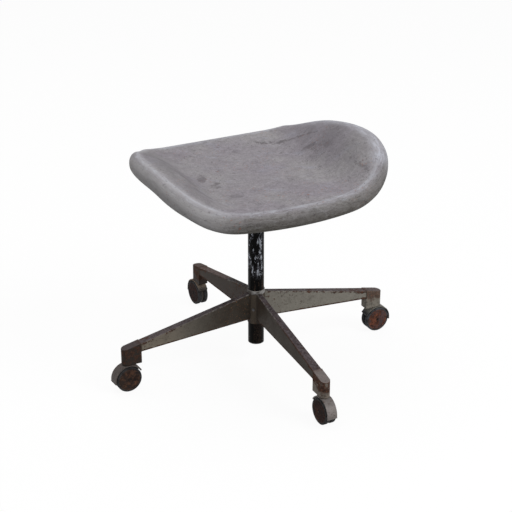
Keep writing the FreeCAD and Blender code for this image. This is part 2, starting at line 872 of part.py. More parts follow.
def seat_plan():
    """The D of the seat in plan: straight front, bowed sides, round corners and a bowed rear."""
    size = SIZES
    side = Vector(size["seat_half_width"] - size["side_arc_radius"], size["seat_widest"], 0)
    rear = Vector(0, size["seat_rear"] - size["rear_arc_radius"], 0)
    corner_radius = size["rear_corner_radius"]
    corner = meeting_point(side, size["side_arc_radius"] - corner_radius,
                           rear, size["rear_arc_radius"] - corner_radius)
    nose_radius = size["front_corner_radius"]
    nose_y = nose_radius - size["seat_front"]
    nose_run = size["side_arc_radius"] - nose_radius
    nose_x = side.x + math.sqrt(nose_run ** 2 - (nose_y - side.y) ** 2)
    nose = Vector(nose_x, nose_y, 0)

    def towards(centre, target, radius):
        return centre + (target - centre).normalize() * radius

    def mirrored(point):
        return Vector(-point.x, point.y, 0)

    def arc_middle(centre, first, last, radius):
        return towards(centre, (first + last) / 2, radius)

    nose_start = Vector(nose.x, -size["seat_front"], 0)
    nose_end = side + (nose - side).normalize() * size["side_arc_radius"]
    corner_start = side + (corner - side).normalize() * size["side_arc_radius"]
    corner_end = rear + (corner - rear).normalize() * size["rear_arc_radius"]
    arcs = [
        (nose_start, arc_middle(nose, nose_start, nose_end, nose_radius), nose_end),
        (nose_end, side + Vector(size["side_arc_radius"], 0, 0), corner_start),
        (corner_start, arc_middle(corner, corner_start, corner_end, corner_radius), corner_end),
        (corner_end, Vector(0, size["seat_rear"], 0), mirrored(corner_end)),
    ]
    arcs += [tuple(mirrored(point) for point in reversed(arc)) for arc in arcs[2::-1]]
    edges = [Part.Arc(*arc).toShape() for arc in arcs]
    edges.append(Part.LineSegment(mirrored(nose_start), nose_start).toShape())
    return Part.Wire(edges)


def saddle_height(x, y):
    """Height of the seat's upper face over the floor."""
    size = SIZES
    back = y - size["pan_low"]
    if back > 0:
        pan = size["pan_rear_rise"] * (back / (size["seat_rear"] - size["pan_low"])) ** 2
    else:
        pan = size["pan_front_rise"] * (back / (size["seat_front"] + size["pan_low"])) ** 2
    along = y - size["rim_peak"]
    reach = size["rim_rear_length"] if along > 0 else size["rim_front_length"]
    rise = size["rim_rise"] * (1 - (along / reach) ** 2)
    aside = abs(x) / size["rim_half_width"]
    share = min(max((aside - PAN_SHARE) / (1 - PAN_SHARE), 0), 1)
    return pan_level.number + pan + rise * share ** 2 * (3 - 2 * share)


def saddle_face(drop):
    """The seat's upper face, lowered by a drop, a little wider than the seat."""
    margin = SIZES["grid_margin"]
    half = SIZES["seat_half_width"] + margin
    front = -SIZES["seat_front"] - margin
    depth = SIZES["seat_rear"] + margin - front
    grid = []
    for i in range(GRID_STEPS + 1):
        x = half * (2 * i / GRID_STEPS - 1)
        ys = [front + depth * j / GRID_STEPS for j in range(GRID_STEPS + 1)]
        grid.append([Vector(x, y, saddle_height(x, y) - drop) for y in ys])
    surface = Part.BSplineSurface()
    surface.interpolate(grid)
    return surface.toShape()


def make_cushion():
    """The moulded seat: a saddle with thick rolled edges and a pocket for its board."""
    thickness = SIZES["seat_thickness"]
    tall = thickness + SIZES["rim_rise"] + SIZES["pan_front_rise"]
    base = pan_level.number - 2 * tall
    plan = Part.Face(seat_plan())
    plan.translate(Vector(0, 0, base))
    block = plan.extrude(Vector(0, 0, 4 * tall))
    above = saddle_face(0).extrude(Vector(0, 0, 4 * tall))
    below = saddle_face(thickness).extrude(Vector(0, 0, -4 * tall))
    body = block.cut(above).cut(below)

    def rim_edges(shape, level):
        """Edges of the upper or the lower of the two largest faces."""
        faces = sorted(shape.Faces, key=lambda face: face.Area)[-2:]
        faces.sort(key=lambda face: face.CenterOfMass.z)
        return faces[level].Edges

    body = body.makeFillet(SIZES["top_lip_radius"], rim_edges(body, -1))
    body = body.makeFillet(SIZES["bottom_lip_radius"], rim_edges(body, 0))

    fit = SIZES["board_fit"]
    width = SIZES["board_width"] + 2 * fit
    depth = SIZES["board_depth"] + 2 * fit
    corner = Vector(-width / 2, SIZES["board_forward"] - depth / 2, base)
    pocket = Part.makeBox(width, depth, board_top.number - base, corner)
    upright = [edge for edge in pocket.Edges if edge.BoundBox.ZLength > tall / 2]
    pocket = pocket.makeFillet(SIZES["board_corner"] + fit, upright)
    cushion = doc.addObject("Part::Feature", "cushion")
    cushion.Shape = body.cut(pocket)
    keep("seat_cushion", cushion)


make_column()
make_hub()
for leg_side, leg_angle in LEGS.items():
    make_leg(leg_side, leg_angle)
    make_socket(leg_side, leg_angle)
    make_caster(leg_side, leg_angle)
make_sleeves()
make_spindle()
keep("seat_plate", plate("plate_blank", S.plate_width, S.plate_width, S.plate_thickness,
                         plate_bottom, S.plate_corner, ZERO, S.plate_hole_radius))
keep("seat_board", plate("board_blank", S.board_width, S.board_depth, S.board_thickness,
                         board_bottom, S.board_corner, S.board_forward,
                         S.insert_radius + S.insert_fit))
make_fixings()
make_cushion()
doc.recompute()

for feature in doc.Objects:
    if "Invalid" in feature.State or "Error" in feature.State:
        raise RuntimeError(f"{feature.Label} did not rebuild: {feature.State}")
for label, piece in nodes.items():
    if piece.Shape.isNull() or not piece.Shape.isValid() or not piece.Shape.Solids:
        raise RuntimeError(f"{label} has no valid solid")

os.makedirs("parts", exist_ok=True)
for label, piece in nodes.items():
    piece.Shape.exportStep(f"parts/{label}.step")
print(f"{len(nodes)} nodes")
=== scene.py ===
"""The looks of a worn lab stool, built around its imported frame.

Metres, in the frame's own axes: the origin is on the floor under the column, +Z is up and the
seat's straight front edge looks along -Y.
"""

import json
import math

import bmesh
import bpy
import numpy as np
from mathutils import Matrix, Vector


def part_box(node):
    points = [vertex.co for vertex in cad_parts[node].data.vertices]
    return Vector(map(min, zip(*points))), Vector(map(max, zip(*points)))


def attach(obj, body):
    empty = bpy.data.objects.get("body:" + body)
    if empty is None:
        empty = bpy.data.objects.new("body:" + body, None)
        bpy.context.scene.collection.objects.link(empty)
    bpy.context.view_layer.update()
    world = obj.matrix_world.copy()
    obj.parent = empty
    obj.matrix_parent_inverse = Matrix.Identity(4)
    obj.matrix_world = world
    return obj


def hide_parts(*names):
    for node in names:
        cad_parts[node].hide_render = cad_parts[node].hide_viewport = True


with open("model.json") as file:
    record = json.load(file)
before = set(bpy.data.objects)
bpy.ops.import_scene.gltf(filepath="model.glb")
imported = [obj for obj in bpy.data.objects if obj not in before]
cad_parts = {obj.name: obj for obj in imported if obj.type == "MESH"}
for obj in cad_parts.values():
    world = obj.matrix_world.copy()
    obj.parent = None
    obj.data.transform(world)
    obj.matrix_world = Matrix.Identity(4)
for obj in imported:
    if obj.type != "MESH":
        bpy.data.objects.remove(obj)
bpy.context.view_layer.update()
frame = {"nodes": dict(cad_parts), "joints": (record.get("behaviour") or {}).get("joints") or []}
JOINTS = {joint["name"]: joint for joint in frame["joints"]}

SIDES = {"right": 0.0, "rear": 90.0, "left": 180.0, "front": 270.0}
HANDS = ("a", "b")

# The camera that took the photograph, and the way across its picture
LENS = 98.4
CAMERA = (1.1632, 2.2937, 1.4218)
TARGET = (0.0, 0.0, 0.2335)
ACROSS = math.radians(153.1)


def add_node(tree, kind, values, settings):
    """A node: its settings first, then its sockets' values or links."""
    made = tree.nodes.new(kind)
    for name, setting in settings.items():
        setattr(made, name, setting)
    for socket, value in (values or {}).items():
        if isinstance(value, bpy.types.NodeSocket):
            tree.links.new(value, made.inputs[socket])
        else:
            made.inputs[socket].default_value = value
    return made


def operator(operation, swapped=False):
    """A Math node as a method: of a value, or of a value and another term."""
    def apply(self, *others):
        terms = (*others, self) if swapped else (self, *others)
        return self.shader.node("Math", dict(enumerate(terms)), operation=operation)
    return apply


class Value:
    """A socket that takes part in sums."""

    def __init__(self, shader, socket):
        self.shader = shader
        self.socket = socket

    __add__ = __radd__ = operator("ADD")
    __sub__ = operator("SUBTRACT")
    __rsub__ = operator("SUBTRACT", swapped=True)
    __mul__ = __rmul__ = operator("MULTIPLY")
    __truediv__ = operator("DIVIDE")
    __abs__ = operator("ABSOLUTE")
    sine = operator("SINE")
    most = operator("MAXIMUM")

    def step(self, low, high):
        """0 at low and 1 at high, smooth between them; low may be the larger."""
        values = {"Value": self, "From Min": low, "From Max": high}
        return self.shader.node("MapRange", values, interpolation_type="SMOOTHSTEP")


def headed(x, y, side):
    """The parts of a place along a side's leg and across it."""
    turn = math.radians(SIDES[side])
    return x * math.cos(turn) + y * math.sin(turn), y * math.cos(turn) - x * math.sin(turn)


def shown(colour):
    """What a shader wants for a colour as the display shows it, 0 to 255. Others stay."""
    if isinstance(colour, Value) or len(colour) == 4:
        return colour
    return (*(((c / 255 + 0.055) / 1.055) ** 2.4 if c > 10 else c / 255 / 12.92
              for c in colour), 1.0)


class Shader:
    """The nodes of a material or of the world."""

    def __init__(self, owner):
        owner.use_nodes = True
        self.owner = owner
        self.tree = owner.node_tree
        self.tree.nodes.clear()

    def node(self, kind, values=None, output=0, **settings):
        """One node's output, from other outputs and plain numbers."""
        given = {socket: value.socket if isinstance(value, Value) else value
                 for socket, value in (values or {}).items()}
        made = add_node(self.tree, "ShaderNode" + kind, given, settings)
        return Value(self, made.outputs[output]) if made.outputs else None

    def vector(self, operation, first, second=None, output=0):
        values = {0: first} if second is None else {0: first, 1: second}
        return self.node("VectorMath", values, output, operation=operation)

    def split(self, vector, axis):
        return self.node("SeparateXYZ", {0: vector}, output=axis)

    def upward(self):
        """How far the surface faces up, from -1 to 1."""
        return self.split(self.node("NewGeometry", output="Normal"), "Z")

    def stretched(self, scale, turn=0.0):
        """The place, turned about Z, then scaled along each axis."""
        turned = self.node("VectorRotate", {"Vector": self.place, "Angle": -turn},
                           rotation_type="Z_AXIS")
        return self.vector("MULTIPLY", turned, scale)

    def noise(self, scale, detail, rough, place=None):
        values = {"Vector": place or self.place, "Scale": scale, "Detail": detail,
                  "Roughness": rough}
        return self.node("TexNoise", values)

    def mix(self, share, first, second):
        """A colour between two others."""
        values = {0: share, 6: shown(first), 7: shown(second)}
        return self.node("Mix", values, output=2, data_type="RGBA")

    def layers(self, colour, *layers):
        """A colour with others laid over it in turn, each by its share."""
        for share, over in layers:
            colour = self.mix(share, colour, over)
        return colour

    def tone(self, colour, amount):
        """A colour made darker or lighter by a value."""
        values = {0: 1.0, 6: shown(colour), 7: amount}
        return self.node("Mix", values, output=2, data_type="RGBA", blend_type="MULTIPLY")

    def surface(self, colour, rough, height, depth, strength=0.6, metal=0.0, **fixed):
        """Joins a finish to the output. What is in fixed is the same all over."""
        bump = self.node("Bump", {"Height": height, "Distance": depth, "Strength": strength})
        values = {"Base Color": colour, "Roughness": rough, "Metallic": metal, "Normal": bump}
        values.update({name.replace("_", " "): number for name, number in fixed.items()})
        self.node("OutputMaterial", {0: self.node("BsdfPrincipled", values)})
        return self.owner


def new_shader(name):
    """A material's nodes, with the place of each point and its parts along the axes."""
    made = Shader(bpy.data.materials.new(name))
    made.place = made.node("TexCoord", output="Object")
    made.x, made.y, made.z = (made.split(made.place, axis) for axis in "XYZ")
    return made


RUST_DARK = (54, 40, 34)
RUST_MID = (90, 62, 49)
RUST_ORANGE = (128, 84, 62)
OLIVE = (122, 117, 108)
OLIVE_DARK = (54, 46, 38)
PURPLE_GREY = (86, 77, 80)
BARE_EDGE = (150, 146, 142)

# The seat's plan and section, the same as in the frame
LOW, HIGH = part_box("seat_cushion")
HALF_WIDTH = HIGH.x
FRONT = -LOW.y
REAR = HIGH.y
WIDEST = 0.020
SIDE_ARC = 0.326
REAR_ARC = 0.457
REAR_CORNER = 0.111
FRONT_CORNER = 0.024
THICKNESS = 0.0385
TOP_LIP = 0.0185
BOTTOM_LIP = 0.016
PAN_LEVEL = 0.4115
RIM_RISE = 0.0625
RIM_PEAK = 0.032
RIM_HALF_WIDTH = 0.217
RIM_FRONT_LENGTH = 0.232
RIM_REAR_LENGTH = 0.150
PAN_SHARE = 0.51
PAN_LOW = 0.040
PAN_FRONT_RISE = 0.0165
PAN_REAR_RISE = 0.0005
POCKET_RADIUS = 0.025
# How finely its outline is drawn and divided, and its surface between the lip and the middle
ARC_POINTS = 400
SIDE_POINTS = 104
LIP_STEPS = 12
TOP_STEPS = 16
BOTTOM_STEPS = 12
PAN_CENTRE = (0.0, 0.010)
INNER_SHARE = 0.72
# What the middle and the pocket have as their way in from the crest
MIDDLE_WAY = 0.05
POCKET_WAY = -0.12


def saddle_height(x, y):
    """Height of the seat's upper face over the floor, as the frame's seat has it."""
    back = y - PAN_LOW
    rear_rise = PAN_REAR_RISE * (back / (REAR - PAN_LOW)) ** 2
    front_rise = PAN_FRONT_RISE * (back / (FRONT + PAN_LOW)) ** 2
    pan = np.where(back > 0, rear_rise, front_rise)
    along = y - RIM_PEAK
    reach = np.where(along > 0, RIM_REAR_LENGTH, RIM_FRONT_LENGTH)
    rise = RIM_RISE * (1 - (along / reach) ** 2)
    share = np.clip((np.abs(x) / RIM_HALF_WIDTH - PAN_SHARE) / (1 - PAN_SHARE), 0, 1)
    return PAN_LEVEL + pan + rise * share ** 2 * (3 - 2 * share)


def meeting_point(first, first_radius, second, second_radius):
    """The right-hand crossing of two circles in plan."""
    span = second - first
    distance = np.linalg.norm(span)
    along = (first_radius ** 2 - second_radius ** 2 + distance ** 2) / (2 * distance)
    aside = math.sqrt(first_radius ** 2 - along ** 2)
    unit = span / distance
    square = np.array([-unit[1], unit[0]])
    crossings = (first + unit * along + square * aside, first + unit * along - square * aside)
    return max(crossings, key=lambda point: point[0])


def angle_of(vector):
    return math.atan2(vector[1], vector[0])


def seat_outline():
    """Points and outward normals round the seat, in four stretches that meet in its corners."""
    side = np.array([HALF_WIDTH - SIDE_ARC, WIDEST])
    rear = np.array([0.0, REAR - REAR_ARC])
    corner = meeting_point(side, SIDE_ARC - REAR_CORNER, rear, REAR_ARC - REAR_CORNER)
    nose_y = FRONT_CORNER - FRONT
    nose_x = side[0] + math.sqrt((SIDE_ARC - FRONT_CORNER) ** 2 - (nose_y - side[1]) ** 2)
    nose = np.array([nose_x, nose_y])
    nose_end = angle_of(nose - side)
    corner_start = angle_of(corner - side)
    corner_end = angle_of(corner - rear)
    nose_middle = (nose_end - math.pi / 2) / 2
    corner_middle = (corner_start + corner_end) / 2

    def arc(centre, radius, start, end):
        angles = np.linspace(start, end, ARC_POINTS)
        normals = np.stack([np.cos(angles), np.sin(angles)], axis=1)
        return np.hstack([centre + radius * normals, normals])

    def flipped(piece):
        return piece[::-1] * (-1.0, 1.0, -1.0, 1.0)

    nose_front = arc(nose, FRONT_CORNER, -math.pi / 2, nose_middle)
    right = [
        arc(nose, FRONT_CORNER, nose_middle, nose_end),
        arc(side, SIDE_ARC, nose_end, corner_start),
        arc(corner, REAR_CORNER, corner_start, corner_middle),
    ]
    corner_rear = arc(corner, REAR_CORNER, corner_middle, corner_end)
    front_line = np.linspace((-nose_x, -FRONT, 0.0, -1.0), (nose_x, -FRONT, 0.0, -1.0), ARC_POINTS)
    rear_line = arc(rear, REAR_ARC, corner_end, math.pi - corner_end)
    stretches = [
        [flipped(nose_front), front_line, nose_front],
        right,
        [corner_rear, rear_line, flipped(corner_rear)],
        [flipped(piece) for piece in right[::-1]],
    ]
    rows = []
    for stretch in stretches:
        line = np.concatenate(stretch)
        steps = np.linalg.norm(np.diff(line[:, :2], axis=0), axis=1)
        run = np.concatenate([[0], np.cumsum(steps)])
        at = np.linspace(0, run[-1], SIDE_POINTS + 1)[:-1]
        rows.append(np.stack([np.interp(at, run, column) for column in line.T], axis=1))
    points, normals = np.hsplit(np.concatenate(rows), 2)
    return points, normals / np.linalg.norm(normals, axis=1, keepdims=True)


class Skin:
    """Gathers points and faces for one mesh."""

    def __init__(self):
        self.points = []
        self.faces = []
        self.marks = []

    def add(self, points, marks):
        start = sum(len(p) for p in self.points)
        self.points.append(np.asarray(points))
        self.marks.append(np.asarray(marks))
        return np.arange(start, start + len(points))

    def join(self, first, second):
        """Quads between two closed rings of points."""
        self.faces += zip(first, np.roll(first, -1), np.roll(second, -1), second)

    def fill(self, ring, loop, height, mark):
        """Closes a ring with a grid of quads. Its inner points all get one mark."""
        n = len(ring) // 4

        def sides(closed):
            closed = np.concatenate([closed, closed[:1]])
            return (closed[:n + 1], closed[n:2 * n + 1], closed[2 * n:3 * n + 1][::-1],
                    closed[3 * n:][::-1])

        bottom, right, top, left = sides(loop)
        u = np.linspace(0, 1, n + 1)[:, None, None]
        v = np.linspace(0, 1, n + 1)[None, :, None]
        across = (1 - v) * bottom[:, None] + v * top[:, None]
        up = (1 - u) * left[None] + u * right[None]
        corners = ((1 - u) * (1 - v) * bottom[0] + u * (1 - v) * bottom[-1]
                   + (1 - u) * v * top[0] + u * v * top[-1])
        inner = (across + up - corners)[1:n, 1:n].reshape(-1, 2)
        points = np.column_stack([inner, height(inner[:, 0], inner[:, 1])])
        index = np.full((n + 1, n + 1), -1)
        index[:, 0], index[n], index[:, n], index[0] = sides(ring)
        index[1:n, 1:n] = self.add(points, np.tile(mark, (len(points), 1))).reshape(n - 1, n - 1)
        self.faces += zip(index[:-1, :-1].flat, index[1:, :-1].flat, index[1:, 1:].flat,
                          index[:-1, 1:].flat)

    def mesh(self, name):
        data = bpy.data.meshes.new(name)
        data.from_pydata(np.concatenate(self.points), [], self.faces)
        return data


def new_object(name, data):
    """An object in the scene, at the origin."""
    made = bpy.data.objects.new(name, data)
    bpy.context.scene.collection.objects.link(made)
    return made


def new_piece(name, data, material, body):
    """An object with its faces outwards, that rides on a body."""
    work = bmesh.new()
    work.from_mesh(data)
    bmesh.ops.recalc_face_normals(work, faces=work.faces)
    work.to_mesh(data)
    work.free()
    data.shade_smooth()
    data.materials.clear()
    data.materials.append(material)
    piece = new_object(name, data)
    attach(piece, body)
    return piece


# How the photo's marks lie on the seat, in millimetres: place, half length and half width
# along the picture's level line, and a turn from that line
SMUDGES = [
    (108, -20, 9, 16, 0.0),
    (100, 24, 8, 12, 0.7),
    (90, 12, 6, 6, 0.1),
    (-146, -50, 16, 6, 0.0),
    (226, -160, 14, 12, 0.9),
    (236, -120, 9, 16, 0.9),
]
FAINT_SMUDGES = [
    (-12, -112, 8, 10, 0.4),
    (-91, -130, 12, 7, 0.2),
    (-117, -120, 9, 6, 0.1),
    (30, -178, 6, 6, 0.6),
    (-165, -10, 16, 5, -0.9),
    (-60, 50, 10, 4, 0.3),
]
CRACKS = [
    (-74, -138, 11, 4.5, -0.56),
    (-87, -130, 10, 5.5, 0.60),
    (-100, -125, 10, 6, -0.33),
    (-119, -119, 13, 4.5, 0.51),
    (-139, -112, 12, 3.5, 0.04),
    (-156, -100, 11, 3.5, -0.29),
    (-171, -82, 14, 3, -0.54),
    (-169, 89, 13, 3, -1.07),
    (-172, 111, 11, 3.5, -0.88),
    (-176, 127, 8, 4, -0.81),
]
DASHES = [
    (86, 86, 14, 9, 0.0),
    (160, -10, 14, 4, 0.0),
    (160, 96, 22, 4, 0.0),
]


def seat_finish():
    """Worn grey skin: mottling, scratches, smudges, a scuffed crest, an olive lower lip, and
    painted light and shade on the lip and rims.
    """
    made = new_shader("seat_skin_worn")
    rim = made.node("Attribute", output="Vector", attribute_name="rim", attribute_type="GEOMETRY")
    inward = made.split(rim, "Z")
    round_rim = made.vector("MULTIPLY", rim, (1.0, 1.0, 26.0))
    level = made.stretched((1.0, 6.0, 3.0), ACROSS)

    # Mottling under a cool veil
    middle = made.noise(46, 4, 0.6)
    fine = made.noise(330, 3, 0.7)
    coarse = made.noise(120, 4, 0.7)
    veil = made.noise(17, 5, 0.65, made.stretched((1.0, 2.4, 2.0), ACROSS))
    colour = made.layers(
        (143, 140, 142),
        (made.noise(9, 3, 0.5).step(0.35, 0.65), (136, 131, 137)),
        (middle.step(0.42, 0.70) * 0.45, (123, 118, 123)),
        (veil.step(0.52, 0.72) * 0.4, (148, 149, 160)))
    colour = made.tone(colour, 0.22 + fine * 0.84 + coarse * 0.72)

    # The inner slopes of the raised rims and their hollows are darker, painted shade, more on one
    # side
    scratch = made.noise(70, 5, 0.7, level)
    aside = abs(made.x)
    cloud = made.noise(22, 4, 0.6)
    shade_by_side = 0.70 + made.x.step(-0.1, 0.1) * 0.45
    slope_shade = aside.step(0.100, 0.180) * inward.step(0.0, 0.018) * shade_by_side
    hollow_shade = aside.step(0.130, 0.168) * aside.step(0.225, 0.190)
    hollow_shade = hollow_shade * made.y.step(-0.19, -0.06) * made.y.step(0.13, 0.03) * shade_by_side
    colour = made.layers(
        colour,
        (scratch.step(0.58, 0.72) * 0.42, (106, 101, 105)),
        (made.noise(41, 5, 0.75, level).step(0.60, 0.74) * 0.34, (168, 166, 172)),
        (slope_shade * (0.14 + cloud * 0.24), (100, 98, 101)),
        (hollow_shade * cloud.step(0.36, 0.62) * 0.32, (92, 89, 92)))

    ragged = made.noise(150, 4, 0.7)
    grain = made.noise(60, 3, 0.6)

    def marks(places, firm):
        """The largest of a few patches, with broken edges."""
        whole = None
        for x, y, long, wide, turn in places:
            values = {"Vector": made.place, "Location": (x / 1000, y / 1000, PAN_LEVEL),
                      "Rotation": (0, 0, ACROSS + turn), "Scale": (long / 1000, wide / 1000, 0.2)}
            centred = made.node("Mapping", values, vector_type="TEXTURE")
            away = made.vector("LENGTH", centred, output="Value")
            patch = (away + (ragged - 0.5) * firm).step(1.2, 0.75)
            whole = patch if whole is None else whole.most(patch)
        return whole

    smudge = marks(SMUDGES, 2.6) * grain.step(0.24, 0.50)
    vein = made.noise(15, 6, 0.62, made.stretched((1.0, 2.2, 1.6), ACROSS))
    dark_patch = made.noise(10, 2, 0.5).step(0.46, 0.60)
    line = abs(vein - 0.5).step(0.010, 0.002) * dark_patch * grain.step(0.30, 0.50)
    colour = made.layers(
        colour,
        (smudge * 0.62, (94, 89, 92)),
        (marks(FAINT_SMUDGES, 3.4) * grain.step(0.40, 0.56) * 0.45, (98, 93, 97)),
        (marks(CRACKS, 4.6) * grain.step(0.38, 0.54) * 0.55, (86, 82, 84)),
        (marks(DASHES, 1.2) * 0.40, (98, 95, 98)),
        (line * 0.65, (82, 78, 80)))

    # The crest of the lip is scuffed pale; under it the skin is olive and darker towards the
    # bottom, partly painted shade
    scuff = made.noise(9.5, 6, 0.72, round_rim)
    dirt = made.noise(5.0, 5, 0.65, round_rim)
    grit = made.noise(15, 7, 0.82, round_rim)
    crazed = abs(made.noise(17, 6, 0.7, round_rim) - 0.5).step(0.016, 0.003)
    lip = inward.step(-0.004, -0.018)
    under = inward.step(-0.018, -0.042)
    crest = abs(inward + 0.004).step(0.015, 0.002)
    # A thin pale line along the crest, a painted highlight
    ridge_highlight = abs(inward + 0.002).step(0.005, 0.001) * scuff.step(0.36, 0.52)
    scuffed = crest * scuff.step(0.50, 0.64) * (1 - made.x.step(-0.09, -0.15) * 0.5)
    nick = made.noise(26, 5, 0.75, round_rim).step(0.56, 0.64)
    nicked = lip * nick.most(crazed * dirt.step(0.42, 0.56))
    chalk = made.noise(14, 6, 0.75, round_rim).step(0.54, 0.66)
    # The lip painted lighter at both ends of the seat: painted light
    painted_lip_light = made.x.step(0.10, 0.20) * (crest * 0.26).most(lip * (0.50 + under * 0.04))
    painted_lip_light = painted_lip_light.most(made.x.step(-0.195, -0.240) * lip * 0.48)
    far_edge = made.x.step(-0.165, -0.210) * made.y.step(0.150, 0.115)
    far_edge = far_edge * inward.step(0.024, 0.004) * (0.30 + scuff.step(0.46, 0.62) * 0.5)
    colour = made.layers(
        colour,
        (lip * (0.35 + dirt * 0.5), (120, 117, 112)),
        (under * (0.45 + dirt * 0.6), (84, 80, 70)),
        (ridge_highlight * 0.45, (170, 172, 180)),
        (crest * dirt.step(0.35, 0.60) * 0.35, (156, 154, 158)),
        (scuffed * 0.6, (176, 180, 189)),
        (nicked * 0.7, (66, 62, 58)),
        (lip * grit.step(0.53, 0.59) * dirt.step(0.36, 0.54) * 0.55, (66, 62, 56)),
        (lip * grit.step(0.46, 0.40) * 0.30, (158, 157, 158)),
        (lip * chalk * 0.5, (150, 150, 152)),
        (painted_lip_light, (188, 186, 189)),
        (far_edge, (176, 177, 186)))

    # A few rust-coloured specks and dark pits
    speck = made.noise(210, 3, 0.6).step(0.63, 0.68) * made.noise(12, 2, 0.5).step(0.48, 0.60)
    pit = made.noise(170, 3, 0.65).step(0.61, 0.67)
    colour = made.layers(colour, (speck * 0.7, (140, 96, 78)), (pit * 0.5, (88, 83, 87)))

    rough = 0.66 + fine * 0.12 - scuffed * 0.12 + smudge * 0.08
    height = (fine * 0.25 + middle * 0.5 - scratch.step(0.60, 0.74) * 0.4 - nicked * 0.8
              - pit * 0.5)
    return made.surface(colour, rough, height, 0.0006, Specular_IOR_Level=0.2)


def make_seat():
    """The moulded seat: a saddle with a thick rolled lip and a pocket below for its board."""
    outline, outward = seat_outline()
    count = len(outline)
    angles = np.arctan2(outline[:, 1], outline[:, 0])
    around = np.stack([np.cos(angles), np.sin(angles)], axis=1)
    skin = Skin()

    def ring(plan, drop, inward):
        """A ring of points, marked with its direction round the seat and its way in."""
        heights = saddle_height(plan[:, 0], plan[:, 1]) - drop
        marks = np.column_stack([around, np.full(count, inward)])
        return skin.add(np.column_stack([plan, heights]), marks)

    def quarter(radius):
        """The lip from its widest line: share of the way, inset, and height left to go."""
        for share in np.arange(LIP_STEPS + 1) / LIP_STEPS:
            turn = math.pi / 2 * share
            yield share, radius * (1 - math.cos(turn)), radius * (1 - math.sin(turn))

    # From the lip's widest line over the crest to the middle
    top_arc = TOP_LIP * math.pi / 2
    rings = [ring(outline - outward * inset, left, -top_arc * (1 - share))
             for share, inset, left in quarter(TOP_LIP)]
    lip_top = outline - outward * TOP_LIP
    centre = np.array(PAN_CENTRE)
    for k in range(1, TOP_STEPS + 1):
        share = 1 - (1 - INNER_SHARE) * k / TOP_STEPS
        plan = centre + (lip_top - centre) * share
        inset = float(np.mean(np.linalg.norm(lip_top - plan, axis=1)))
        rings.append(ring(plan, 0.0, inset))
    for lower, upper in zip(rings, rings[1:]):
        skin.join(lower, upper)
    inner_loop = centre + (lip_top - centre) * INNER_SHARE
    skin.fill(rings[-1], inner_loop, saddle_height, (0.0, 0.0, inset + MIDDLE_WAY))

    # From the widest line under the lip to the pocket's ceiling
    board_low, board_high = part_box("seat_board")
    pocket = rounded_loop(board_low, board_high, POCKET_RADIUS, count)
    below = [rings[0]]
    for share, inset, left in quarter(BOTTOM_LIP):
        way = -top_arc - BOTTOM_LIP * (share + 1 / LIP_STEPS)
        below.append(ring(outline - outward * inset, THICKNESS - left, way))
    lip_bottom = outline - outward * BOTTOM_LIP
    for k in range(1, BOTTOM_STEPS + 1):
        share = k / BOTTOM_STEPS
        plan = lip_bottom + (pocket - lip_bottom) * share
        below.append(ring(plan, THICKNESS, -top_arc - BOTTOM_LIP * 2 - share * MIDDLE_WAY))
    ceiling = np.column_stack([pocket, np.full(count, board_high.z)])
    mark = (0.0, 0.0, POCKET_WAY)
    below.append(skin.add(ceiling, np.tile(mark, (count, 1))))
    for upper, lower in zip(below, below[1:]):
        skin.join(lower, upper)
    skin.fill(below[-1], pocket, lambda x, y: np.full(len(x), board_high.z), mark)

    data = skin.mesh("seat_pad")
    marks = np.concatenate(skin.marks).astype(np.float32)
    rim = data.attributes.new("rim", "FLOAT_VECTOR", "POINT")
    rim.data.foreach_set("vector", marks.ravel())
    seat = new_piece("seat_pad", data, seat_finish(), "seat")
    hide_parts("seat_cushion")


def rounded_loop(low, high, radius, count):
    """A rounded rectangle in plan, in four equal stretches that meet in its corners."""
    centre = (low + high) / 2
    half = np.array([high.x - low.x, high.y - low.y]) / 2
    straight = half - radius
    loop = []
    n = count // 4
    for turn in range(4):
        across = straight[turn % 2]
        out = half[(turn + 1) % 2]
        arc = radius * math.pi / 4
        run = np.linspace(-across - arc, across + arc, n + 1)[:-1]
        beyond = (np.abs(run) - across).clip(0) / radius
        x = np.sign(run) * (np.minimum(np.abs(run), across) + radius * np.sin(beyond))
        y = -(out - radius + radius * np.cos(beyond))
        angle = turn * math.pi / 2
        loop.append(np.stack([x * math.cos(angle) - y * math.sin(angle),
                              x * math.sin(angle) + y * math.cos(angle)], axis=1))
    return np.concatenate(loop) + np.array([centre.x, centre.y])


def worn_paint(made, base, rust, edge, rough=0.55, glow=1.0):
    """Paint over steel: mottled, with rust where the mask says and bare metal on the edges."""
    mottle = made.noise(70, 5, 0.65)
    fine = made.noise(360, 3, 0.7)
    grain = made.noise(200, 5, 0.75)
    fleck = made.noise(240, 3, 0.6).step(0.60, 0.67)
    rust_colour = made.layers(
        RUST_DARK,
        (grain.step(0.40, 0.60) * (0.35 + glow * 0.65), RUST_MID),
        (fine.step(0.52, 0.66) * 0.6 * glow, RUST_ORANGE))
    colour = made.layers(
        made.tone(base, 0.30 + mottle * 0.50 + grain * 0.50 + fine * 0.42),
        (fleck * 0.6, RUST_DARK),
        (edge * (1 - rust * 0.7), BARE_EDGE),
        (rust, rust_colour))
    height = mottle * 0.3 + rust * grain * 1.2 + fine * 0.2
    return made.surface(colour, rough + rust * 0.28 + fine * 0.08, height, 0.0005, 0.55,
                        metal=edge * (1 - rust) * 0.3, Specular_IOR_Level=0.2)


# A leg's box, as the frame has it: where it starts, and its top, depth and width at both ends
LEG_ROOT = 0.0177
LEG_END = 0.260
LEG_TOPS = (0.1538, 0.1003)
LEG_DEPTHS = (0.0584, 0.0182)
LEG_WIDTHS = (0.0117, 0.0198)
LEG_FALL = (LEG_TOPS[0] - LEG_TOPS[1]) / (LEG_END - LEG_ROOT)
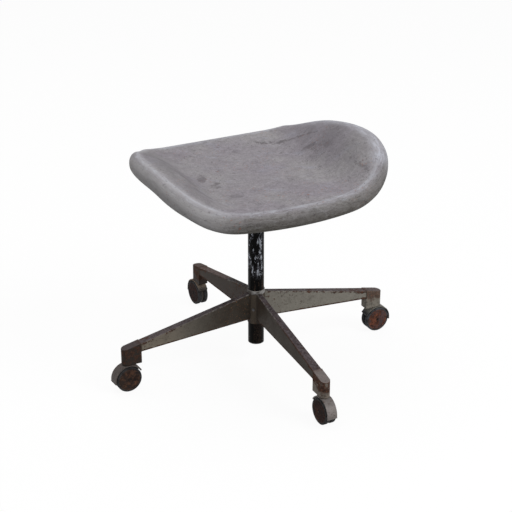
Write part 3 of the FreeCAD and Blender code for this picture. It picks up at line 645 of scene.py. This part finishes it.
# Each leg: how much painted shade darkens it at the hub and at its outer end, the dark paint of
# that shade and its stains, and how rusty it is
LEGS = {
    "right": (1.0, 0.05, OLIVE_DARK, 0.55),
    "rear": (0.90, 1.0, (52, 43, 35), 0.35),
    "left": (0.0, 0.02, OLIVE_DARK, 1.0),
    "front": (1.1, 1.05, (48, 36, 27), 0.75),
}


def leg_finish(side):
    """Olive paint on a leg, purple-grey on top, rusty along its edges and at its outer end."""
    made = new_shader(f"leg_paint_{side}")
    near, far, dark, rusty = LEGS[side]
    along, aside = headed(made.x, made.y, side)
    share = (along - LEG_ROOT) / (LEG_END - LEG_ROOT)

    def between(ends):
        return ends[0] + share * (ends[1] - ends[0])

    depth = between(LEG_DEPTHS)
    half = between(LEG_WIDTHS) * 0.5
    below = between(LEG_TOPS) - made.z
    over = depth - below
    upward = made.upward().step(0.45, 0.8)
    upright = 1 - upward
    cloud = made.noise(34, 5, 0.65)
    ragged = made.noise(120, 5, 0.7)

    # Its sides, painted lighter lower down and darkened by painted shade, and its darker top
    lit = made.mix((over / depth).step(0.75, 0.05) * 0.35, OLIVE, (136, 131, 120))
    # The top darker in patches towards the hub
    dark_near_hub = made.noise(50, 4, 0.6).step(0.45, 0.62) * share.step(0.34, 0.16)
    top_paint = made.mix(dark_near_hub, PURPLE_GREY, (44, 38, 38))
    # Painted light and shade by leg: the right leg lighter towards its outer end, the left leg
    # lighter all over, the front leg's sides darker
    if side == "right":
        lit = made.mix(share.step(0.45, 0.85) * 0.5, lit, (140, 128, 112))
    elif side == "left":
        lit = made.mix(0.6, lit, (150, 146, 137))
    elif side == "front":
        lit = made.mix(0.5, lit, (104, 88, 78))
        # The front leg's top nearly black towards the hub
        dark_patch = (share + ragged * 0.1).step(0.50, 0.46)
        top_paint = made.mix(dark_patch, (98, 80, 74), (28, 24, 24))
    # Painted shade on the sides, as much as the table gives at the hub and at the outer end
    painted_shade = far + share.step(0.85, 0.15) * (near - far)
    stain = made.noise(42, 5, 0.7).step(0.52, 0.70)
    pepper = made.noise(190, 4, 0.75)
    top_paint = made.layers(
        top_paint,
        (pepper.step(0.50, 0.60) * 0.5, (116, 108, 112)),
        (pepper.step(0.48, 0.40) * 0.6, (48, 41, 41)))
    base = made.layers(
        lit, (painted_shade * (0.66 + cloud * 0.6), dark), (stain * 0.35, dark), (upward * 0.9, top_paint))

    # Rust along its edges, in spots and where its top is worn
    near_top = below.step(0.010, 0.0010) * upright
    near_foot = over.step(0.0062, 0.0020) * upright
    end = share.step(0.72, 1.0)
    mask = near_top * 0.36 + end * 0.12 + near_foot * 0.50 + ragged * 1.1 + cloud * 0.7
    rust = mask.step(1.28 - 0.12 * rusty, 1.46 - 0.12 * rusty)
    worn_top = (ragged + cloud * 0.6 + end * 0.1).step(0.90 - 0.10 * rusty, 1.06 - 0.10 * rusty)
    spots = made.noise(140, 3, 0.65).step(0.60, 0.67) * share.step(0.75, 0.1)
    rust = rust.most(upward * worn_top * 0.75).most(spots * 0.75)
    if side == "right":
        ember = made.noise(290, 3, 0.6).step(0.64, 0.67) * share.step(0.42, 0.12) * upright
        base = made.mix(ember * 0.7, base, (168, 116, 70))
        rust = rust * (1 - ember)
    elif side == "front":
        streak = made.noise(80, 5, 0.7, made.stretched((1.0, 1.0, 0.5))).step(0.50, 0.60)
        streak = streak * share.step(0.55, 0.25) * ragged.step(0.38, 0.54)
        rust = rust.most(streak * 0.7)

    corner = (half - abs(aside)).step(0.0026, 0.0008) * below.step(0.0030, 0.0010)
    outer = share.step(0.25, 0.60)
    if side == "rear":
        rust = rust.most(corner * outer * 0.8)
    edge = corner * ragged.step(0.42, 0.58) * (0.75 - outer * 0.45)
    return worn_paint(made, base, rust, edge, glow=0.7)


def hub_finish():
    """Dark paint on the hub, worn to pale metal on its top ring."""
    made = new_shader("hub_paint_worn")
    low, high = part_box("hub_sleeve")
    ragged = made.noise(130, 5, 0.7)
    ring = made.z.step(high.z - 0.0095, high.z - 0.0065)
    from_legs = abs(made.x * made.y).step(LEG_ROOT ** 2 * 0.30, LEG_ROOT ** 2 * 0.46)
    worn_side = made.x.step(0.004, -0.012) * 0.14
    lit = (made.noise(55, 5, 0.7) + worn_side).step(0.42, 0.52)
    lit = ring * lit * made.x.step(0.0168, 0.0110)
    base = made.layers(
        (50, 43, 38),
        (from_legs * (1 - ring) * 0.7, (88, 78, 66)),
        (ring, (84, 79, 76)),
        (lit * 0.9, (176, 175, 174)))
    rim = made.z.step(high.z - 0.0022, high.z - 0.0006) * ragged.step(0.36, 0.50)
    edge = (rim * 0.7).most(lit * ragged.step(0.46, 0.62) * 0.7)
    rust = ragged * 0.9 + made.z.step(low.z + 0.012, low.z) * 0.14
    rust = rust.step(0.56, 0.72) * (1 - ring * 0.8) * 0.6
    return worn_paint(made, base, rust, edge, glow=0.5)


# How light each side's paint is stands partly for painted light and shade
# Each socket: its paint and its top's, how far down it is rusty, how rusty it is, how bright
# that rust is, how blotted its paint is and how much of the rust shows
SOCKETS = {
    "right": ((42, 35, 30), (76, 68, 68), 1.0, 0.35, 0.35, 0.7, 1.0),
    "rear": ((124, 115, 106), (122, 115, 113), 0.66, 0.95, 0.9, 0.35, 1.0),
    "left": ((134, 128, 118), (94, 85, 84), 0.52, 1.0, 1.3, 0.35, 0.74),
    "front": ((42, 33, 29), (80, 66, 62), 0.9, 0.45, 0.5, 0.7, 1.0),
}


def socket_finish(side):
    """Paint on a leg-end socket, rusty from the top edge down."""
    made = new_shader(f"socket_paint_{side}")
    colour, top_paint, reach, rusty, glow, blotted, kept = SOCKETS[side]
    low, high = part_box(f"caster_socket_{side}")
    along, _ = headed(made.x, made.y, side)
    drop = (high.z - made.z - (along - LEG_END) * LEG_FALL) / (high.z - low.z)
    upward = made.upward().step(0.4, 0.8)
    ragged = made.noise(105, 5, 0.7)
    cloud = made.noise(45, 4, 0.6)
    blot = made.noise(80, 5, 0.7).step(0.50, 0.60) * (1 - upward)
    base = made.layers(colour, (blot * blotted, (36, 29, 26)), (upward, top_paint))
    band = drop.step(reach + 0.25, reach - 0.35)
    rust = band * 0.42 + ragged * 1.1 + cloud * 0.7
    rust = rust.step(1.28 - 0.22 * rusty, 1.50 - 0.22 * rusty) * (1 - upward * 0.85) * kept
    tail = (along - ragged * 0.016).step(LEG_END + 0.004, LEG_END - 0.010)
    rust = rust.most(tail * upward * 0.6)
    edge = drop.step(0.055, 0.01) * (1 - upward) * ragged.step(0.48, 0.64) * 0.4
    return worn_paint(made, base, rust, edge, glow=glow)


# Each hood: its paint low down and near its neck; how light each side's is stands partly for
# painted light and shade
HOODS = {
    "right": ((92, 85, 82), (90, 83, 80)),
    "rear": ((138, 131, 128), (104, 98, 96)),
    "left": ((56, 55, 56), (128, 126, 118)),
    "front": ((70, 64, 60), (150, 134, 118)),
}


def hood_finish(side):
    """Grey paint on a caster's hood, darker towards its foot, with scratched edges."""
    made = new_shader(f"hood_paint_{side}")
    ragged = made.noise(150, 5, 0.7)
    foot, neck = HOODS[side]
    base = made.layers(
        foot,
        (made.z.step(0.034, 0.020) * 0.4, (78, 72, 68)),
        ((made.z + ragged * 0.008).step(0.048, 0.055) * 0.75, neck))
    rust = (ragged + made.z.step(0.048, 0.056) * 0.10).step(0.60, 0.72) * 0.6
    edge = made.noise(210, 4, 0.7).step(0.60, 0.70) * 0.35
    return worn_paint(made, base, rust, edge, rough=0.5)


# How dusty each caster's treads are
TREAD_DUST = {"right": 0.40, "rear": 0.30, "left": 0.9, "front": 0.5}
# Each cover: its rust in the dark and in the light, and the bare patches between
COVER_RUST = {
    "right": ((46, 33, 28), (86, 62, 49), (52, 44, 41)),
    "rear": ((44, 31, 29), (62, 43, 39), (40, 34, 33)),
    "left": ((76, 50, 41), (124, 76, 58), (84, 72, 74)),
    "front": ((42, 31, 30), (58, 41, 38), (44, 38, 38)),
}
# How far out from its axle the rust of a cover stains the tread: not at all, and fully
STAIN_REACH = (0.0238, 0.0224)


def axle_distance(made, side):
    """How far a point is from the line of a caster's axle."""
    axle = JOINTS[f"roll_{side}_a"]
    aside = made.vector("SUBTRACT", made.place, tuple(axle["pos_m"]))
    across = made.vector("CROSS_PRODUCT", aside, tuple(axle["axis"]))
    return made.vector("LENGTH", across, output="Value")


def tread_finish(side):
    """Near-black rubber with grey dust in its grain, rusty round its cover."""
    made = new_shader(f"tread_rubber_{side}")
    dust = made.noise(90, 5, 0.7)
    fine = made.noise(700, 3, 0.7)
    chip = made.noise(240, 3, 0.6).step(0.63, 0.70)
    dark, light = COVER_RUST[side][:2]
    stain = (axle_distance(made, side) + (dust - 0.5) * 0.004).step(*STAIN_REACH)
    colour = made.layers(
        (32, 30, 30),
        (dust.step(0.36, 0.60) * TREAD_DUST[side], (84, 84, 87)),
        (chip * 0.6, (24, 22, 22)),
        (stain * 0.75, made.mix(dust.step(0.42, 0.58), dark, light)))
    colour = made.tone(colour, 0.75 + fine * 0.5)
    return made.surface(colour, 0.72 + fine * 0.15, dust * 0.5 + fine * 0.3 - chip, 0.0004,
                        Specular_IOR_Level=0.2)


def cover_finish(side):
    """A pressed steel cover rusted all over, darker in blotches."""
    made = new_shader(f"cover_rust_{side}")
    dark, light, dark_patch = COVER_RUST[side]
    blotch = made.noise(120, 5, 0.75)
    fine = made.noise(480, 3, 0.7)
    colour = made.layers(
        dark,
        (blotch.step(0.42, 0.58), light),
        (made.noise(210, 4, 0.7).step(0.54, 0.64) * 0.35, RUST_ORANGE),
        (made.noise(62, 5, 0.7).step(0.50, 0.58) * 0.8, dark_patch),
        (made.noise(150, 4, 0.7).step(0.55, 0.62) * 0.8, (32, 28, 28)))
    colour = made.tone(colour, 0.60 + fine * 0.80)
    return made.surface(colour, 0.78 + fine * 0.15, blotch * 0.6 + fine * 0.5, 0.0005,
                        Specular_IOR_Level=0.15)


def column_finish():
    """Gloss black enamel with pale vertical scuffs high up, one strip of them partly a painted
    highlight, and brown streaks low down.
    """
    made = new_shader("column_enamel")
    upright = made.stretched((1.0, 1.0, 0.34))
    scuff = made.noise(210, 5, 0.7, upright)
    smear = made.noise(71, 6, 0.72, upright)
    flake = made.noise(420, 4, 0.7)
    high = made.z.step(0.186, 0.206) * made.z.step(0.335, 0.305)
    pale = (scuff * 0.60 + smear * 0.62).step(0.655, 0.690) * high * flake.step(0.44, 0.51)
    # A thin upright strip of pale scuffs towards the key lamp, partly a painted highlight
    rubbed_and_highlight = made.y.step(0.0150, 0.0158) * made.x.step(0.0012, -0.0004)
    pale = pale.most(rubbed_and_highlight * (scuff * 0.6 + flake * 0.4).step(0.49, 0.54) * high)
    grey = (smear * 0.75 + flake * 0.35).step(0.56, 0.62) * high * 0.7
    streak = made.noise(95, 4, 0.6, made.stretched((1.0, 1.0, 0.12))).step(0.53, 0.58)
    brown = streak * made.z.step(0.230, 0.195) * flake.step(0.44, 0.56)
    brown = brown * (0.18 + made.z.step(0.085, 0.150) * 0.60)
    chip = flake.step(0.64, 0.69) * 0.6
    colour = made.layers(
        (4, 3, 3),
        (brown, (96, 78, 67)),
        (grey, (92, 91, 99)),
        (pale, (232, 238, 250)),
        (chip, (104, 94, 88)))
    worn = pale.most(grey).most(brown).most(chip)
    return made.surface(colour, 0.30 + worn * 0.45 + smear * 0.1, 1 - worn + flake * 0.2, 0.0002,
                        0.4, Specular_IOR_Level=0.05)


def steel_finish(name, colour, rough=0.35):
    """Plain turned steel: fine lines round it and light stains."""
    made = new_shader(name)
    lines = made.noise(60, 4, 0.6, made.stretched((1.0, 1.0, 22.0)))
    stain = made.noise(80, 4, 0.6)
    shade = made.tone(colour, 0.8 + lines * 0.3 - stain.step(0.55, 0.75) * 0.25)
    return made.surface(shade, rough + lines * 0.15 + stain * 0.1, lines, 0.0002, metal=0.9)


def plastic_finish():
    """Moulded dark plastic with a fine grain."""
    made = new_shader("moulded_plastic")
    grain = made.noise(900, 3, 0.6)
    dust = made.noise(70, 4, 0.6).step(0.5, 0.75)
    colour = made.mix(dust * 0.5, (40, 40, 41), (76, 73, 71))
    return made.surface(colour, 0.5 + grain * 0.2, grain, 0.0002)


# How fast the sine that draws the plywood's plies turns along Z, in radians a metre
PLY_WAVE = 1500


def plywood_finish():
    """Birch plywood: grain across the faces and plies on the edge."""
    made = new_shader("board_plywood")
    grain = made.noise(6, 5, 0.65, made.stretched((3.0, 40.0, 40.0)))
    plies = (made.z * PLY_WAVE).sine().step(-0.3, 0.3)
    on_edge = abs(made.upward()).step(0.6, 0.3)
    colour = made.layers(
        (176, 146, 108),
        (grain.step(0.35, 0.68), (138, 106, 72)),
        (on_edge * plies * 0.6, (96, 70, 48)))
    colour = made.tone(colour, 0.70 + made.noise(24, 4, 0.6) * 0.35)
    return made.surface(colour, 0.7 + grain * 0.1, grain, 0.0003)


def black_steel_finish():
    """Thin black paint over pressed steel, rubbed brown at random."""
    made = new_shader("pressed_steel_black")
    rub = made.noise(70, 5, 0.7)
    rust = rub.step(0.58, 0.70) * 0.7
    return worn_paint(made, (48, 46, 46), rust, rub.step(0.70, 0.78) * 0.5, rough=0.45)


def dress(material, *nodes):
    """Gives a finish to CAD nodes."""
    for node in nodes:
        slots = frame["nodes"][node].data.materials
        slots.clear()
        slots.append(material)


def dress_frame(hub, steel, black, plastic):
    """Every CAD node gets its finish."""
    dress(column_finish(), "column_tube")
    dress(hub, "hub_sleeve")
    dress(steel, "spindle_nut", "thrust_washer", "spindle_pin", "guide_screw", "board_inserts")
    dress(steel_finish("screw_dull", (104, 102, 103), rough=0.6), "hub_screw")
    dress(plastic, "column_plug", "stem_sleeves", "lower_guide")
    dress(black, "spindle_boss", "seat_plate")
    dress(plywood_finish(), "seat_board")
    for side in SIDES:
        dress(leg_finish(side), f"leg_{side}")
        dress(socket_finish(side), f"caster_socket_{side}")
        dress(hood_finish(side), f"caster_hood_{side}")
        dress(steel, f"caster_stem_{side}", f"caster_axle_{side}")
        dress(cover_finish(side), *(f"wheel_cover_{side}_{hand}" for hand in HANDS))
        dress(tread_finish(side), *(f"wheel_{side}_{hand}" for hand in HANDS))


class Growth:
    """A Geometry Nodes tree with named inputs for its sizes."""

    def __init__(self, name, sizes):
        self.tree = bpy.data.node_groups.new(name, "GeometryNodeTree")
        self.sizes = sizes
        sockets = self.tree.interface
        for way in ("INPUT", "OUTPUT"):
            sockets.new_socket("Geometry", in_out=way, socket_type="NodeSocketGeometry")
        for size in sizes:
            sockets.new_socket(size, in_out="INPUT", socket_type="NodeSocketFloat")
        self.start = self.tree.nodes.new("NodeGroupInput")

    def size(self, name):
        return self.start.outputs[name]

    def node(self, kind, values=None, output=0, **settings):
        return add_node(self.tree, kind, values, settings).outputs[output]

    def lowered(self, geometry, height):
        """A geometry moved down by half its height."""
        drop = self.node("ShaderNodeMath", {0: height, 1: -0.5}, operation="MULTIPLY")
        shift = self.node("ShaderNodeCombineXYZ", {"Z": drop})
        return self.node("GeometryNodeTransform", {"Geometry": geometry, "Translation": shift})

    def end(self, geometry, material):
        """Realizes the copies and gives them their finish."""
        real = self.node("GeometryNodeRealizeInstances", {0: geometry})
        painted = self.node("GeometryNodeSetMaterial", {"Geometry": real, "Material": material})
        add_node(self.tree, "NodeGroupOutput", {0: painted}, {})
        return self

    def grow(self, name, data):
        """The plain mesh that the tree makes of a mesh."""
        seed = new_object(name, data)
        modifier = seed.modifiers.new("growth", "NODES")
        modifier.node_group = self.tree
        for socket in self.tree.interface.items_tree:
            if socket.name in self.sizes:
                modifier[socket.identifier] = self.sizes[socket.name]
        evaluated = seed.evaluated_get(bpy.context.evaluated_depsgraph_get())
        mesh = bpy.data.meshes.new_from_object(evaluated)
        seed.modifiers.remove(modifier)
        bpy.data.objects.remove(seed)
        return mesh


def points_mesh(name, places, edges=()):
    data = bpy.data.meshes.new(name)
    data.from_pydata(places, edges, [])
    return data


WELD = {"Spacing": 0.0016, "Bead": 0.0011}
# The beads' centres stay this far inside a leg's corners, at the hub and at the socket
HUB_MARGIN = 0.003
TIP_MARGIN = 0.0006


def weld_tree(material):
    """Overlapping beads along lines: a hand-laid weld."""
    tree = Growth("weld_beads", WELD)
    line = tree.node("GeometryNodeMeshToCurve", {0: tree.size("Geometry")})
    spaced = tree.node("GeometryNodeResampleCurve",
                       {"Curve": line, "Length": tree.size("Spacing")}, mode="LENGTH")
    bead = tree.node("GeometryNodeMeshIcoSphere", {"Radius": tree.size("Bead"), "Subdivisions": 2})
    uneven = tree.node("FunctionNodeRandomValue", {2: 0.8, 3: 1.15, "Seed": 4}, output=1,
                       data_type="FLOAT")
    beads = tree.node("GeometryNodeInstanceOnPoints",
                      {"Points": spaced, "Instance": bead, "Scale": uneven})
    return tree.end(tree.node("GeometryNodeSetShadeSmooth", {0: beads}), material)


def make_welds(material):
    """The beads that join each leg to the hub and to its socket."""
    root, tip = (width / 2 for width in LEG_WIDTHS)
    face = math.sqrt(LEG_ROOT ** 2 - root ** 2)
    foot = LEG_TOPS[0] - LEG_DEPTHS[0]
    high = LEG_TOPS[1] - TIP_MARGIN
    low = LEG_TOPS[1] - LEG_DEPTHS[1] + TIP_MARGIN
    lines = [
        [(face, -root, foot + HUB_MARGIN), (face, -root, LEG_TOPS[0] - HUB_MARGIN)],
        [(face, root, foot + HUB_MARGIN), (face, root, LEG_TOPS[0] - HUB_MARGIN)],
        [(LEG_END, -tip, high), (LEG_END, -tip, low), (LEG_END, tip, low), (LEG_END, tip, high)],
    ]
    places, edges = [], []
    for angle in SIDES.values():
        turn = math.radians(angle)
        along = np.array([math.cos(turn), math.sin(turn)])
        across = np.array([-along[1], along[0]])
        for line in lines:
            start = len(places)
            places += [(*(along * out + across * aside), z) for out, aside, z in line]
            edges += [(k, k + 1) for k in range(start, len(places) - 1)]
    beads = weld_tree(material).grow("weld_beads", points_mesh("weld_lines", places, edges))
    new_piece("weld_beads", beads, material, "root")


BOLT = {"Head": 0.0055, "Height": 0.0036, "Collar": 0.0075, "Washer": 0.0008}


def bolt_tree(material):
    """A hexagon head with its washer on each point, hanging from a face above."""
    tree = Growth("hexagon_bolts", BOLT)
    height, thickness = tree.size("Height"), tree.size("Washer")
    head = tree.node("GeometryNodeMeshCylinder",
                     {"Vertices": 6, "Radius": tree.size("Head"), "Depth": height})
    collar = tree.node("GeometryNodeMeshCylinder",
                       {"Vertices": 32, "Radius": tree.size("Collar"), "Depth": thickness})
    both = tree.tree.nodes.new("GeometryNodeJoinGeometry")
    tree.tree.links.new(tree.lowered(head, height), both.inputs[0])
    tree.tree.links.new(tree.lowered(collar, thickness), both.inputs[0])
    bolts = tree.node("GeometryNodeInstanceOnPoints",
                      {"Points": tree.size("Geometry"), "Instance": both.outputs[0]})
    return tree.end(bolts, material)


def make_bolts(material):
    """The four bolts under the seat plate."""
    low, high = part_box("seat_screws")
    head = BOLT["Head"]
    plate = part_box("seat_plate")[0].z
    places = [(x, y, plate) for x in (low.x + head, high.x - head)
              for y in (low.y + head, high.y - head)]
    bolts = bolt_tree(material).grow("seat_bolts", points_mesh("bolt_places", places))
    piece = new_piece("seat_bolts", bolts, material, "seat")
    bolts.shade_flat()
    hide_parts("seat_screws")


RIVET = {"Radius": 0.003, "Rise": 0.4}
# How far a rivet head's middle is sunk in its cover
RIVET_SINK = 0.0005


def rivet_tree(material):
    """A domed rivet head on each point, looking along +Z."""
    tree = Growth("axle_caps", RIVET)
    dome = tree.node("GeometryNodeMeshUVSphere",
                     {"Segments": 28, "Rings": 14, "Radius": tree.size("Radius")})
    squat = tree.node("ShaderNodeCombineXYZ", {"X": 1.0, "Y": 1.0, "Z": tree.size("Rise")})
    caps = tree.node("GeometryNodeInstanceOnPoints",
                     {"Points": tree.size("Geometry"), "Instance": dome, "Scale": squat})
    return tree.end(caps, material)


def make_caps(material):
    """The rivet head in the middle of each wheel cover."""
    tree = rivet_tree(material)
    for side in SIDES:
        for hand in HANDS:
            joint = JOINTS[f"roll_{side}_{hand}"]
            centre = Vector(joint["pos_m"])
            way = Vector(joint["axis"]).normalized()
            low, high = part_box(f"wheel_cover_{side}_{hand}")
            if ((low + high) / 2 - centre).dot(way) < 0:
                way = -way
            points = frame["nodes"][f"wheel_cover_{side}_{hand}"].data.vertices
            face = max((point.co - centre).dot(way) for point in points)
            mesh = tree.grow(f"cap_{side}_{hand}", points_mesh("cap_place", [(0, 0, 0)]))
            mesh.transform(Vector((0, 0, 1)).rotation_difference(way).to_matrix().to_4x4())
            mesh.transform(Matrix.Translation(centre + way * (face - RIVET_SINK)))
            new_piece(f"axle_cap_{side}_{hand}", mesh, material, f"roller_{side}_{hand}")


# The height screw: a two-start trapezoid thread of 8 mm lead
THREAD_LEAD = 0.008
THREAD_STARTS = 2
THREAD_DEPTH = 0.0018
THREAD_MARGIN = 0.003
# Its plain foot in the guide, and how far its thread goes on into the boss
FOOT_HOLE = 0.0032
JOURNAL_RADIUS = 0.006
JOURNAL_LENGTH = 0.014
BOSS_OVERLAP = 0.002
RING_POINTS = 48
RINGS_A_PITCH = 8


def make_spindle(material):
    """The threaded spindle: a plain journal below and a plain neck in the boss."""
    low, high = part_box("spindle")
    radius = high.x
    root = radius - THREAD_DEPTH
    shoulder = low.z + JOURNAL_LENGTH
    start = shoulder + THREAD_MARGIN
    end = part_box("spindle_boss")[0].z + BOSS_OVERLAP
    around = np.linspace(0, 2 * math.pi, RING_POINTS + 1)[:-1]
    skin = Skin()

    def ring(height, radii):
        heights = np.full(RING_POINTS, height)
        points = np.column_stack([np.cos(around) * radii, np.sin(around) * radii, heights])
        return skin.add(points, np.zeros((RING_POINTS, 3)))

    pitch = THREAD_LEAD / THREAD_STARTS
    rings = [ring(low.z, FOOT_HOLE), ring(low.z, JOURNAL_RADIUS), ring(shoulder, JOURNAL_RADIUS),
             ring(shoulder, root), ring(start - THREAD_MARGIN / 2, root)]
    for z in np.arange(start, end, pitch / RINGS_A_PITCH):
        phase = (z / pitch - around / (2 * math.pi) * THREAD_STARTS) % 1
        crest = np.clip(1.75 - 6 * np.abs(phase - 0.5), 0, 1)
        rings.append(ring(z, radius - THREAD_DEPTH * (1 - crest)))
    rings += [ring(end + 0.001, radius), ring(high.z, radius)]
    for lower, upper in zip(rings, rings[1:]):
        skin.join(lower, upper)
    skin.faces += [tuple(rings[0][::-1]), tuple(rings[-1])]
    piece = new_piece("height_screw", skin.mesh("height_screw"), material, "seat")
    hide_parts("spindle")


WHITE = (1.0, 1.0, 1.0, 1.0)
FLOOR_GREY = (0.30, 0.30, 0.30, 1.0)
# How much of the floor that is seen is plain white, so that the stool's shadow is faint
FLOOR_WHITE = 0.935
DOME_STRENGTH = 0.38
LAMPS = [
    ("key", (-1.7, 2.2, 2.7), 1.8, 66),
    ("top", (0.3, -0.8, 3.2), 2.4, 40),
    ("fill", (2.6, 1.2, 1.2), 2.2, 10),
]
LAMP_TARGET = (0.0, 0.0, 0.3)


def make_stage():
    """A pale floor that shows white but keeps the stool's shadow, and a white world."""
    bpy.ops.mesh.primitive_plane_add(size=60, location=(0, 0, 0))
    floor = bpy.context.object
    floor.name = "floor"
    made = new_shader("studio_floor")
    seen = made.node("LightPath", output="Is Camera Ray")
    for ray in ("Is Glossy Ray", "Is Transmission Ray"):
        seen = seen.most(made.node("LightPath", output=ray))
    matte = made.node("BsdfDiffuse", {"Color": made.mix(seen, FLOOR_GREY, WHITE)})
    white = made.node("Emission", {"Color": WHITE, "Strength": 1.0})
    floor_look = made.node("MixShader", {0: seen * FLOOR_WHITE, 1: matte, 2: white})
    made.node("OutputMaterial", {0: floor_look})
    floor.data.materials.append(made.owner)

    world = bpy.data.worlds.new("studio")
    bpy.context.scene.world = world
    sky = Shader(world)
    seen = sky.node("LightPath", output="Is Camera Ray")
    dome = sky.node("Background", {"Color": WHITE, "Strength": DOME_STRENGTH})
    white = sky.node("Background", {"Color": WHITE, "Strength": 1.0})
    sky.node("OutputWorld", {0: sky.node("MixShader", {0: seen, 1: dome, 2: white})})


def aimed(name, data, location, target):
    """An object that looks from one place at another."""
    thing = new_object(name, data)
    thing.location = location
    ahead = Vector(target) - thing.location
    thing.rotation_euler = ahead.to_track_quat("-Z", "Y").to_euler()
    return thing


def make_lamps():
    for name, location, size, power in LAMPS:
        data = bpy.data.lights.new(name, "AREA")
        data.size = size
        data.energy = power
        aimed(name, data, location, LAMP_TARGET)


def make_camera():
    data = bpy.data.cameras.new("camera")
    data.lens = LENS
    data.sensor_width = 36
    bpy.context.scene.camera = aimed("camera", data, CAMERA, TARGET)


make_camera()
make_stage()
make_lamps()
bpy.context.scene.view_settings.view_transform = "Standard"

steel_material = steel_finish("turned_steel", (150, 149, 150))
hub_material = hub_finish()
dress_frame(hub_material, steel_material, black_steel_finish(), plastic_finish())
make_seat()
make_spindle(steel_material)
make_bolts(steel_material)
make_welds(hub_material)
make_caps(steel_finish("rivet_steel", (46, 39, 38), 0.6))
